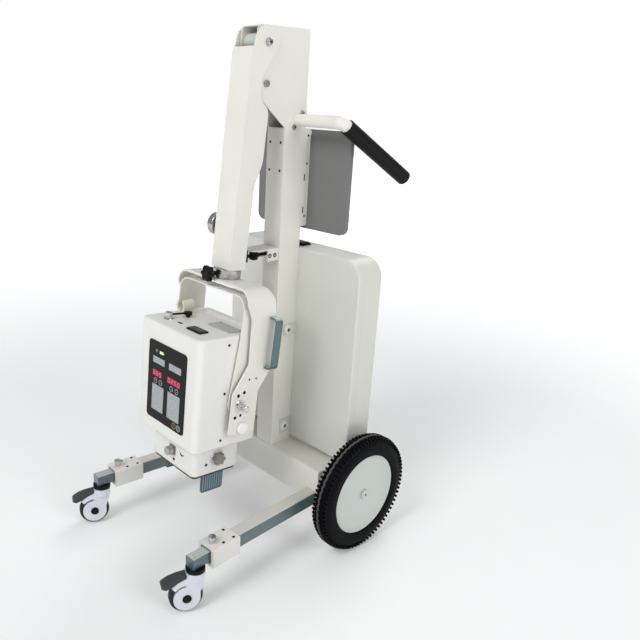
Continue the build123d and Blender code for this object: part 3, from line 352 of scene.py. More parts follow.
@dataclass(frozen=True)
class Finish:
    """A surface finish: its colour, how it shines, its grain and how it wears, and for some a painted light
    on the faces that look up.
    """

    name: str
    colour: Colour
    roughness: float
    kind: Surface = Surface.SMOOTH
    metallic: float = 0.0
    coat: float = 0.0
    grain: float = 0.15
    grain_scale: float = 600.0
    mottle: float = 0.06
    wear: float = 0.3
    wear_colour: Colour = (0.42, 0.41, 0.38)
    dust: float = 0.06
    dust_colour: Colour = (0.55, 0.53, 0.49)
    soft_edge: float = 0.8
    along: tuple[float, float, float] = (1.0, 1.0, 1.0)
    glow: float = 0.0
    shine: float = 0.5
    # colour painted on faces that look up, standing in for the light that falls on them
    painted_top_light: Optional[Colour] = None

    def build(self, groups: ShaderGroups) -> bpy.types.Material:
        """Makes the material.

        Args:
            groups: The shared shader groups.

        Returns:
            The finished material.
        """
        made = bpy.data.materials.new(self.name)
        made.use_nodes = True
        tree = made.node_tree
        shader = tree.nodes["Principled BSDF"]
        link = tree.links.new

        edge = self._group(tree, groups.edge, {"Radius": self.soft_edge * MM, "Amount": self.wear})
        dust = self._group(tree, groups.dust, {"Amount": self.dust})
        mottle = self._group(tree, groups.mottle, {"Colour": (*self.colour, 1.0), "Amount": self.mottle})
        grain = self._group(tree, groups.grain, {"Scale": self.grain_scale, "Height": self.grain})
        link(edge.outputs["Normal"], grain.inputs["Normal"])

        coat = mottle.outputs["Colour"]
        # painted light: faces that look up take the lighter top colour, as if lit from above
        if self.painted_top_light:
            upward = self._group(tree, groups.upward, {})
            coat = self._mix(tree, upward.outputs["Mask"], coat, self.painted_top_light)
        worn = self._mix(tree, edge.outputs["Mask"], coat, self.wear_colour)
        dusty = self._mix(tree, dust.outputs["Mask"], worn, self.dust_colour)
        link(dusty, shader.inputs["Base Color"])

        value = grain.outputs["Value"]
        if self.kind is Surface.BRUSHED:
            value = noise_node(tree, BRUSH_SCALE, 3.0, Vector(self.along))
        rough = math_node(tree, "SUBTRACT", value, 0.5)
        rough = math_node(tree, "MULTIPLY", rough, ROUGHNESS_SPREAD[self.kind])
        rough = math_node(tree, "ADD", rough, self.roughness)
        dull = math_node(tree, "MULTIPLY", dust.outputs["Mask"], DUST_ROUGHNESS)
        rough = math_node(tree, "ADD", rough, dull, clamp=True)
        link(rough, shader.inputs["Roughness"])
        link(grain.outputs["Normal"], shader.inputs["Normal"])

        give(shader, {"Metallic": self.metallic, "Coat Weight": self.coat, "Coat Roughness": COAT_ROUGHNESS,
                      "Specular IOR Level": self.shine})
        if self.glow:
            give(shader, {"Emission Color": (*self.colour, 1.0), "Emission Strength": self.glow})
        made.diffuse_color = (*self.colour, 1.0)
        return made

    @staticmethod
    def _group(tree: Tree, group: Tree, values: dict[str, object]) -> bpy.types.Node:
        """Adds a shared group to a material's tree and sets its inputs."""
        node = tree.nodes.new("ShaderNodeGroup")
        node.node_tree = group
        give(node, values)
        return node

    @staticmethod
    def _mix(tree: Tree, factor: Socket, first: Socket, second: Colour) -> Socket:
        """Mixes a colour socket with a plain colour by a mask and returns the result."""
        node = tree.nodes.new("ShaderNodeMix")
        node.data_type = "RGBA"
        tree.links.new(factor, node.inputs[0])
        tree.links.new(first, node.inputs[6])
        node.inputs[7].default_value = (*second, 1.0)
        return node.outputs[2]


FINISHES: tuple[Finish, ...] = (
    Finish("stand_paint", (0.76, 0.75, 0.69), 0.40, Surface.POWDER, grain=0.2, grain_scale=900.0),
    Finish("case_paint", (0.64, 0.65, 0.59), 0.38, Surface.POWDER, grain=0.2, grain_scale=900.0),
    Finish("tray_paint", (0.18, 0.18, 0.18), 0.48, Surface.POWDER, grain=0.3, grain_scale=1100.0, shine=0.3),
    Finish("cover_grey", (0.46, 0.46, 0.45), 0.42, Surface.POWDER, grain=0.2, grain_scale=1100.0),
    # leg_paint: the dark teal of the sides is a painted reflection of dark surroundings, and the pale top is
    # painted light
    Finish("leg_paint", (0.12, 0.17, 0.18), 0.36, Surface.POWDER, grain=0.2, grain_scale=900.0,
           painted_top_light=(0.62, 0.61, 0.56)),
    # inner_tube: the steel-blue sides are a painted reflection of dark surroundings, and the pale top is
    # painted light
    Finish("inner_tube", (0.085, 0.135, 0.155), 0.24, Surface.BRUSHED, metallic=0.35, along=(1.0, 0.04, 1.0),
           wear_colour=(0.7, 0.7, 0.7), grain=0.05, coat=0.5, painted_top_light=(0.50, 0.55, 0.55)),
    Finish("bright_steel", (0.44, 0.44, 0.43), 0.26, Surface.BRUSHED, metallic=1.0, along=(0.06, 1.0, 1.0),
           wear_colour=(0.8, 0.8, 0.8), grain=0.05, soft_edge=0.4),
    Finish("chrome", (0.62, 0.62, 0.62), 0.10, metallic=1.0, wear=0.1, wear_colour=(0.6, 0.6, 0.6),
           grain=0.03, soft_edge=0.4),
    Finish("tyre", (0.003, 0.003, 0.004), 0.50, Surface.MOULDED, wear=0.05, wear_colour=(0.03, 0.03, 0.03),
           dust=0.0, grain=0.35, grain_scale=500.0, mottle=0.02, shine=0.06),
    Finish("tread_band", (0.07, 0.07, 0.07), 0.80, Surface.MOULDED, grain=0.4, grain_scale=420.0, shine=0.2),
    Finish("caster_tread", (0.016, 0.016, 0.020), 0.50, Surface.MOULDED, dust=0.04,
           dust_colour=(0.10, 0.10, 0.09), shine=0.3),
    Finish("grip_rubber", (0.005, 0.005, 0.006), 0.40, Surface.MOULDED, grain=0.35, grain_scale=700.0,
           wear=0.1, wear_colour=(0.04, 0.04, 0.04), dust=0.0, shine=0.15),
    Finish("black_plastic", (0.005, 0.005, 0.006), 0.34, Surface.MOULDED, grain=0.25, wear=0.12,
           wear_colour=(0.05, 0.05, 0.05), dust=0.0, soft_edge=0.5, shine=0.15),
    Finish("wheel_plastic", (0.56, 0.60, 0.57), 0.36, Surface.MOULDED, grain=0.12, wear=0.2),
    Finish("white_nylon", (0.84, 0.84, 0.82), 0.34, Surface.MOULDED, grain=0.12, wear=0.1),
    Finish("head_shell", (0.78, 0.77, 0.74), 0.32, Surface.MOULDED, coat=0.25, grain=0.1, grain_scale=800.0),
    Finish("panel_film", (0.006, 0.006, 0.007), 0.30, grain=0.05, wear=0.03, wear_colour=(0.05, 0.05, 0.05),
           dust=0.0, shine=0.12),
    Finish("panel_key", (0.34, 0.37, 0.39), 0.45, grain=0.1, wear=0.05, dust=0.0),
    Finish("panel_print", (0.62, 0.64, 0.66), 0.45, grain=0.05, wear=0.0, dust=0.0),
    Finish("panel_yellow", (0.60, 0.46, 0.06), 0.45, grain=0.05, wear=0.0, dust=0.0),
    Finish("digit_red", (0.85, 0.10, 0.14), 0.40, grain=0.02, wear=0.0, dust=0.0, glow=1.0),
    Finish("digit_window", (0.24, 0.02, 0.04), 0.30, grain=0.02, wear=0.0, dust=0.0, glow=0.4, shine=0.2),
    Finish("lamp_green", (0.48, 0.72, 0.28), 0.40, grain=0.02, wear=0.0, dust=0.0, glow=0.6),
    Finish("fork_plastic", (0.68, 0.69, 0.76), 0.28, coat=0.4, grain=0.05),
    Finish("pedal_plastic", (0.035, 0.04, 0.042), 0.40, Surface.MOULDED, grain=0.25, dust=0.02, shine=0.4),
    Finish("cream_plastic", (0.74, 0.70, 0.58), 0.38, Surface.MOULDED, grain=0.12),
    Finish("blade_grey", (0.075, 0.135, 0.165), 0.42, Surface.MOULDED, grain=0.2, dust=0.0, shine=0.35),
    Finish("blade_rib", (0.25, 0.34, 0.38), 0.40, Surface.MOULDED, grain=0.15),
    Finish("knob_grey", (0.22, 0.22, 0.18), 0.38, Surface.MOULDED, grain=0.25),
    Finish("dark_screw", (0.020, 0.020, 0.020), 0.45, metallic=0.3, grain=0.05, wear=0.1,
           wear_colour=(0.10, 0.10, 0.10), dust=0.0, shine=0.3),
    # floor_grey's glow is painted light; the floor swaps it for a glow that grows with distance
    Finish("floor_grey", (0.84, 0.84, 0.84), 0.75, grain=0.05, wear=0.0, dust=0.0, mottle=0.02, glow=0.1,
           shine=0.1),
)


class Paintbox:
    """All materials by finish name."""

    def __init__(self) -> None:
        groups = ShaderGroups()
        self.made = {finish.name: finish.build(groups) for finish in FINISHES}

    def __getitem__(self, name: str) -> bpy.types.Material:
        """The material of a finish."""
        return self.made[name]

    def dress_nodes(self) -> None:
        """Gives every CAD node the material of its slot in the record."""
        slots = {part["node"]: part["material_slot"] for part in frame["record"]["subparts"]}
        for name, node in frame["nodes"].items():
            node.data.materials.clear()
            node.data.materials.append(self.made[slots[name]])


# Mesh work

class Section(Enum):
    """Cross sections for turned forms."""

    ROUND = "round"
    HEX = "hex"
    STAR = "star"
    KNURL = "knurl"
    CROSS = "cross"

    def reach(self, angle: float) -> float:
        """Radius at an angle, as a fraction of the full one."""
        if self is Section.HEX:
            part = math.radians(60)
            return math.cos(part / 2) / math.cos(angle % part - part / 2)
        if self is Section.STAR:
            return 0.86 + 0.14 * math.cos(6 * angle)
        if self is Section.KNURL:
            return 1.0 if int(round(angle / math.radians(5))) % 2 else 0.955
        if self is Section.CROSS:
            return 1.0 if abs(math.cos(2 * angle)) > 0.92 else 0.42
        return 1.0


class Form:
    """A mesh gathered from closed forms, each put in place by a seat."""

    def __init__(self) -> None:
        self.mesh = bmesh.new()

    def turned(self, profile: Iterable[tuple], seat: Seat, steps: int = 32) -> "Form":
        """Adds a turned form.

        Args:
            profile: Radius, height and optional section of each ring, from bottom to top; where neither end
                lies on the axis the form is closed into a tube wall.
            seat: Its place; heights run outwards.
            steps: Number of sides.

        Returns:
            This form.
        """
        rings = []
        for radius, height, *kind in profile:
            section = kind[0] if kind else Section.ROUND
            if radius < ON_AXIS:
                rings.append([self.mesh.verts.new((0, 0, height))])
                continue
            ring = []
            for step in range(steps):
                angle = 2 * math.pi * step / steps
                reach = radius * section.reach(angle)
                ring.append(self.mesh.verts.new((reach * math.cos(angle), reach * math.sin(angle), height)))
            rings.append(ring)
        pairs = list(zip(rings, rings[1:]))
        if len(rings[0]) > 1 and len(rings[-1]) > 1:
            pairs.append((rings[-1], rings[0]))
        for low, high in pairs:
            for step in range(steps):
                after = (step + 1) % steps
                if len(low) == 1:
                    self.mesh.faces.new((low[0], high[after], high[step]))
                elif len(high) == 1:
                    self.mesh.faces.new((low[step], low[after], high[0]))
                else:
                    self.mesh.faces.new((low[step], low[after], high[after], high[step]))
        self.place([vert for ring in rings for vert in ring], seat)
        return self

    def plate(self, outline: Sequence[Pair], thickness: float, seat: Seat) -> "Form":
        """Adds a flat prism.

        Args:
            outline: Corners in the seat's plane, counterclockwise.
            thickness: Height outwards.
            seat: Its place.

        Returns:
            This form.
        """
        low, high = [], []
        for a, b in outline:
            low.append(self.mesh.verts.new((a, b, 0)))
            high.append(self.mesh.verts.new((a, b, thickness)))
        count = len(outline)
        self.mesh.faces.new(list(reversed(low)))
        self.mesh.faces.new(high)
        for step in range(count):
            after = (step + 1) % count
            self.mesh.faces.new((low[step], low[after], high[after], high[step]))
        self.place(low + high, seat)
        return self

    def block(self, width: float, height: float, thickness: float, seat: Seat, corner: float = 0.0) -> "Form":
        """Adds a rectangular plate with rounded corners, centred on its seat."""
        return self.plate(rounded(width, height, corner), thickness, seat)

    def place(self, verts: Sequence, seat: Seat) -> None:
        """Moves new vertices from millimetres at a seat to metres in the frame."""
        bmesh.ops.transform(self.mesh, matrix=seat.matrix(), verts=list(verts))

    def data(self, name: str) -> bpy.types.Mesh:
        """The form as a mesh with its faces outwards; the form is spent."""
        made = bpy.data.meshes.new(name)
        bmesh.ops.recalc_face_normals(self.mesh, faces=self.mesh.faces[:])
        self.mesh.to_mesh(made)
        self.mesh.free()
        return made

    def piece(self, name: str, finish: str, body: str, paints: Paintbox, soften: float = 0.0,
              slot: Optional[str] = None) -> bpy.types.Object:
        """Turns the form into a finished object.

        Args:
            name: Name of the object.
            finish: Name of its finish.
            body: CAD body that it rides on.
            paints: The materials.
            soften: Width of rounded edges in millimetres; 0 leaves them sharp.
            slot: Record slot, where it isn't the finish's own name; it is not used.

        Returns:
            The object.
        """
        return settle(name, self.data(name), finish, body, paints, soften)


def linked(name: str, data: bpy.types.ID) -> bpy.types.Object:
    """Makes an object and links it to the scene's collection."""
    made = bpy.data.objects.new(name, data)
    bpy.context.collection.objects.link(made)
    return made


def settle(name: str, data: bpy.types.Mesh, finish: str, body: str, paints: Paintbox,
           soften: float = 0.0) -> bpy.types.Object:
    """Makes an object of a mesh, with its finish, on its body.

    Args:
        name: Name of the object.
        data: The mesh, already in place.
        finish: Name of its finish.
        body: CAD body that it rides on.
        paints: The materials.
        soften: Width of rounded edges in millimetres; 0 leaves them sharp.

    Returns:
        The object.
    """
    data.name = name
    data.materials.clear()
    data.materials.append(paints[finish])
    data.shade_smooth()
    data.set_sharp_from_angle(angle=CREASE)
    piece = linked(name, data)
    if soften:
        bevel = piece.modifiers.new("soft_edges", "BEVEL")
        bevel.width = soften * MM
        bevel.segments = 2
        bevel.limit_method = "ANGLE"
        bevel.angle_limit = SOFTENED
    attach(piece, body)
    log.info("%s: %d faces on %s", name, len(data.polygons), body)
    return piece


def rounded(width: float, height: float, corner: float, steps: int = 5) -> list[Pair]:
    """Outline of a rectangle with round corners, counterclockwise about its middle."""
    if corner <= 0:
        a, b = width / 2, height / 2
        return [(-a, -b), (a, -b), (a, b), (-a, b)]
    points = []
    for quarter, (sx, sy) in enumerate(((1, -1), (1, 1), (-1, 1), (-1, -1))):
        for step in range(steps + 1):
            angle = math.radians(-90 + 90 * quarter + 90 * step / steps)
            points.append((sx * (width / 2 - corner) + corner * math.cos(angle),
                           sy * (height / 2 - corner) + corner * math.sin(angle)))
    return points


HOME = Seat(Vector((0, 0, 0)), Vector((1, 0, 0)), Vector((0, 1, 0)), Vector((0, 0, 1)))


class Repeats:
    """Geometry node trees that lay out copies of a small form, and the calls that use them."""

    def __init__(self, paints: Paintbox) -> None:
        self.paints = paints
        self.at_spots = self._tree("copies_at_spots", ring=False)
        self.round_axis = self._tree("copies_round_axis", ring=True)

    @staticmethod
    def _tree(name: str, ring: bool) -> tuple[Tree, dict[str, str]]:
        """Makes one of the two layouts.

        Args:
            name: Name of the tree.
            ring: True for copies turned about the third axis, False for one copy at each point.

        Returns:
            The tree, and its inputs' identifiers by name.
        """
        tree = bpy.data.node_groups.new(name, "GeometryNodeTree")
        new, link = tree.nodes.new, tree.links.new
        tree.interface.new_socket("Geometry", in_out="INPUT", socket_type="NodeSocketGeometry")
        for label, kind in (("Copy", "NodeSocketObject"), ("Finish", "NodeSocketMaterial"),
                            ("Count", "NodeSocketInt")):
            tree.interface.new_socket(label, in_out="INPUT", socket_type=kind)
        tree.interface.new_socket("Geometry", in_out="OUTPUT", socket_type="NodeSocketGeometry")
        inner, outer = new("NodeGroupInput"), new("NodeGroupOutput")
        copy, place = new("GeometryNodeObjectInfo"), new("GeometryNodeInstanceOnPoints")
        real = new("GeometryNodeRealizeInstances")
        paint, turn = new("GeometryNodeSetMaterial"), new("FunctionNodeEulerToRotation")
        link(inner.outputs["Copy"], copy.inputs["Object"])
        if ring:
            line = new("GeometryNodeMeshLine")
            line.inputs["Offset"].default_value = (0.0, 0.0, 0.0)
            link(inner.outputs["Count"], line.inputs["Count"])
            link(line.outputs["Mesh"], place.inputs["Points"])
            step, spin, angles = new("ShaderNodeMath"), new("ShaderNodeMath"), new("ShaderNodeCombineXYZ")
            step.operation, spin.operation = "DIVIDE", "MULTIPLY"
            step.inputs[0].default_value = 2 * math.pi
            link(inner.outputs["Count"], step.inputs[1])
            link(step.outputs[0], spin.inputs[0])
            link(new("GeometryNodeInputIndex").outputs[0], spin.inputs[1])
            link(spin.outputs[0], angles.inputs["Z"])
            link(angles.outputs[0], turn.inputs[0])
        else:
            link(inner.outputs["Geometry"], place.inputs["Points"])
            kept = new("GeometryNodeInputNamedAttribute")
            kept.data_type = "FLOAT_VECTOR"
            kept.inputs["Name"].default_value = "turn"
            link(kept.outputs["Attribute"], turn.inputs[0])
        link(turn.outputs[0], place.inputs["Rotation"])
        link(copy.outputs["Geometry"], place.inputs["Instance"])
        link(place.outputs["Instances"], real.inputs[0])
        link(real.outputs[0], paint.inputs["Geometry"])
        link(inner.outputs["Finish"], paint.inputs["Material"])
        link(paint.outputs["Geometry"], outer.inputs[0])
        ids = {item.name: item.identifier for item in tree.interface.items_tree if item.in_out == "INPUT"}
        return tree, ids

    def _run(self, base: bpy.types.Object, form: Form, finish: str, count: int,
             tree: Tree, ids: dict[str, str]) -> bpy.types.Mesh:
        """Runs a layout of a small form on an object and returns the mesh that it makes."""
        copy = linked("copy", form.data("copy"))
        layout = base.modifiers.new("layout", "NODES")
        layout.node_group = tree
        layout[ids["Copy"]] = copy
        layout[ids["Finish"]] = self.paints[finish]
        layout[ids["Count"]] = count
        bpy.context.view_layer.update()
        shown = base.evaluated_get(bpy.context.evaluated_depsgraph_get())
        made = bpy.data.meshes.new_from_object(shown)
        base.modifiers.remove(layout)
        for spent in (base, copy):
            data = spent.data
            bpy.data.objects.remove(spent)
            bpy.data.meshes.remove(data)
        return made

    def at(self, name: str, form: Form, seats: Sequence[Seat], finish: str, body: str,
           slot: Optional[str] = None) -> bpy.types.Object:
        """One copy of a form at each seat, as one piece.

        Args:
            name: Name of the piece.
            form: The small form, made at HOME.
            seats: Where the copies go.
            finish: Name of their finish.
            body: CAD body that they ride on.
            slot: Record slot, where it isn't the finish's own; it is not used.

        Returns:
            The piece.
        """
        points = bpy.data.meshes.new("spots")
        points.from_pydata([seat.origin * MM for seat in seats], [], [])
        turn = points.attributes.new("turn", "FLOAT_VECTOR", "POINT")
        turn.data.foreach_set("vector", [value for seat in seats for value in seat.euler()])
        made = self._run(linked("spots", points), form, finish, 0, *self.at_spots)
        return settle(name, made, finish, body, self.paints, 0.0)

    def round(self, form: Form, count: int, seat: Seat, finish: str) -> bpy.types.Mesh:
        """Copies of a form turned about a seat's outward axis, as a mesh in place."""
        empty = bpy.data.meshes.new("axis")
        made = self._run(linked("axis", empty), form, finish, count, *self.round_axis)
        made.transform(seat.in_metres())
        return made


def joined(meshes: Sequence[bpy.types.Mesh]) -> bpy.types.Mesh:
    """Several meshes as one; the parts are removed."""
    whole = Form()
    for mesh in meshes:
        whole.mesh.from_mesh(mesh)
        bpy.data.meshes.remove(mesh)
    return whole.data("joined")


def small_screw(radius: float, height: float = 1.6) -> Form:
    """A round-headed screw with a cross recess, made at HOME."""
    depth = height * 0.5
    return Form().turned(
        ((0, 0), (radius, 0), (radius, height * 0.45), (radius * 0.8, height * 0.85), (radius * 0.62, height),
         (radius * 0.6, height, Section.CROSS), (radius * 0.5, depth, Section.CROSS), (0, depth)), HOME, 24)


def socket_bolt(radius: float, height: float, washer: float = 0.0) -> Form:
    """A bolt head with a hexagon socket and, where asked for, a washer, made at HOME."""
    form = Form()
    if washer:
        form.turned(((0, -0.4), (washer, -0.4), (washer, 0.9), (washer - 0.4, 1.2), (0, 1.2)), HOME, 36)
    base = 1.2 if washer else 0.0
    form.turned(
        ((0, base), (radius, base), (radius, base + height - 0.6), (radius - 0.6, base + height),
         (radius * 0.55, base + height, Section.HEX), (radius * 0.52, base + height * 0.45, Section.HEX),
         (0, base + height * 0.45)), HOME, 36)
    return form


def bolts(repeats: Repeats, name: str, sizes: tuple[float, float, float], seats: Sequence[Seat],
          finish: str, body: str) -> None:
    """Sets socket bolts, with painted shade at the foot of their sockets.

    Args:
        repeats: The layouts that place them.
        name: Name of the piece with the heads.
        sizes: Head radius, head height and washer radius.
        seats: Where they sit.
        finish: Finish of the heads.
        body: CAD body that they ride on.
    """
    radius, height, washer = sizes
    base = (1.2 if washer else 0.0) + height * 0.45
    repeats.at(name, socket_bolt(radius, height, washer), seats, finish, body)
    # a dark hexagon at the foot of each socket: painted shade for the recess
    socket = Form().turned(
        ((0, base - 0.2), (radius * 0.51, base - 0.2, Section.HEX), (radius * 0.51, base + 0.25, Section.HEX),
         (0, base + 0.25)), HOME, 36)
    repeats.at(name + "_sockets", socket, seats, "dark_screw", body)


# The machine's own pieces

@dataclass
class RearWheel:
    """A rear wheel: its tyre with tread, and the cap on its disc."""

    side: int
    radius: float = 150.0
    half_width: float = 22.0
    rim: float = 102.0
    track: float = 544.0
    lugs: int = 78
    lug_taper: float = 0.8
    zigzags: int = 60
    zigzag_swing: float = 1.3
    cap_reach: float = 20.8

    @property
    def word(self) -> str:
        """Name of the side."""
        return WORD_OF[self.side]

    def seat(self) -> Seat:
        """The wheel's middle, with the outward axis away from the stand."""
        return STAND.side(self.side, self.side * self.track / 2, 0, self.radius)

    def build(self, paints: Paintbox, repeats: Repeats) -> None:
        """Makes the tyre, its band and the cap's plug."""
        self.tyre(paints, repeats)
        self.band(paints)
        self.plug(paints)

    def tyre(self, paints: Paintbox, repeats: Repeats) -> None:
        """Makes the tyre with two rows of lugs on each shoulder."""
        h, r = self.half_width, self.radius
        body = Form().turned(
            ((self.rim, -h + 4), (self.rim + 5, -h + 1), (self.rim + 14, -h + 0.2), (self.rim + 26, -h + 1),
             (self.rim + 36, -h + 4), (r - 7, -h + 8), (r - 4.5, -h + 12), (r - 3.5, 0), (r - 4.5, h - 12),
             (r - 7, h - 8), (self.rim + 36, h - 4), (self.rim + 26, h - 1), (self.rim + 17, h - 0.2),
             (self.rim + 12, h - 0.2), (self.rim + 10.5, h - 1.0), (self.rim + 8, h - 0.4),
             (self.rim + 3, h - 1.5), (self.rim, h - 4)), HOME, 96)
        carcass = body.data("tyre")
        carcass.transform(self.seat().in_metres())
        parts = [carcass]
        for end in (1, -1):
            for place, half, shift, drop in (
                    ((r - 10, r - 2.2, 12.5, h - 1.6), 2.9, 0.0, 3.0),
                    ((r - 7, r - 0.3, 5.6, 10.5), 3.7, math.pi / self.lugs, 0.4)):
                lug = self.lug(end, place, half, shift, drop)
                parts.append(repeats.round(lug, self.lugs, self.seat(), "tyre"))
        tyre = settle("tread_tyre_" + self.word, joined(parts), "tyre", "wheel_" + self.word, paints)
        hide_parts("tyre_" + self.word)

    def lug(self, end: int, place: tuple[float, float, float, float], half: float, shift: float,
            drop: float) -> Form:
        """Makes one lug of a shoulder, in metres about the wheel's axis.

        Args:
            end: 1 for the outer shoulder, -1 for the inner one.
            place: Its lowest and highest radius, and its near and far edge across the tyre.
            half: Half its length along the tread.
            shift: Angle by which its row is turned.
            drop: How much lower its far edge is.

        Returns:
            The lug.
        """
        low, high, near, far = place
        form = Form()
        rings = []
        for reach in (-half, half):
            ring = []
            for radius, height in (
                    (low, end * near), (high, end * near), (high - drop, end * far), (low, end * far)):
                narrow = self.lug_taper if radius > low + 1 else 1.0
                angle = shift + reach * narrow / radius
                ring.append(form.mesh.verts.new(
                    (radius * math.cos(angle) * MM, radius * math.sin(angle) * MM, height * MM)))
            rings.append(ring)
        form.mesh.faces.new(rings[0])
        form.mesh.faces.new(list(reversed(rings[1])))
        for step in range(4):
            after = (step + 1) % 4
            form.mesh.faces.new((rings[0][after], rings[0][step], rings[1][step], rings[1][after]))
        return form

    def band(self, paints: Paintbox) -> None:
        """Makes the grey zig-zag band round the middle of the tread."""
        form = Form()
        rings = []
        low, high = self.radius - 5, self.radius - 0.8
        for step in range(self.zigzags * 2):
            angle = math.pi * step / self.zigzags
            shift = self.zigzag_swing if step % 2 else -self.zigzag_swing
            ring = []
            for radius, height in ((low, -2.4), (high, -2.2), (high, 2.2), (low, 2.4)):
                ring.append(form.mesh.verts.new(
                    (radius * math.cos(angle), radius * math.sin(angle), height + shift)))
            rings.append(ring)
        for ring, after in zip(rings, rings[1:] + rings[:1]):
            for step in range(4):
                form.mesh.faces.new((ring[step], ring[(step + 1) % 4], after[(step + 1) % 4], after[step]))
        form.place([vert for ring in rings for vert in ring], self.seat())
        form.piece("tread_band_" + self.word, "tread_band", "wheel_" + self.word, paints)

    def plug(self, paints: Paintbox) -> None:
        """Makes the cap's dome and the small dark plug in its middle."""
        seat = self.seat().moved(out=self.cap_reach)
        Form().turned(((12.5, -4.0), (12.5, -0.6), (11.6, 0.4), (3.0, 0.8), (3.0, -4.0)), seat, 48).piece(
            "cap_dome_" + self.word, "wheel_plastic", "wheel_" + self.word, paints)
        Form().turned(((0, -0.5), (2.9, -0.5), (2.9, 0.6), (0, 0.5)), seat, 20).piece(
            "cap_plug_" + self.word, "dark_screw", "wheel_" + self.word, paints)


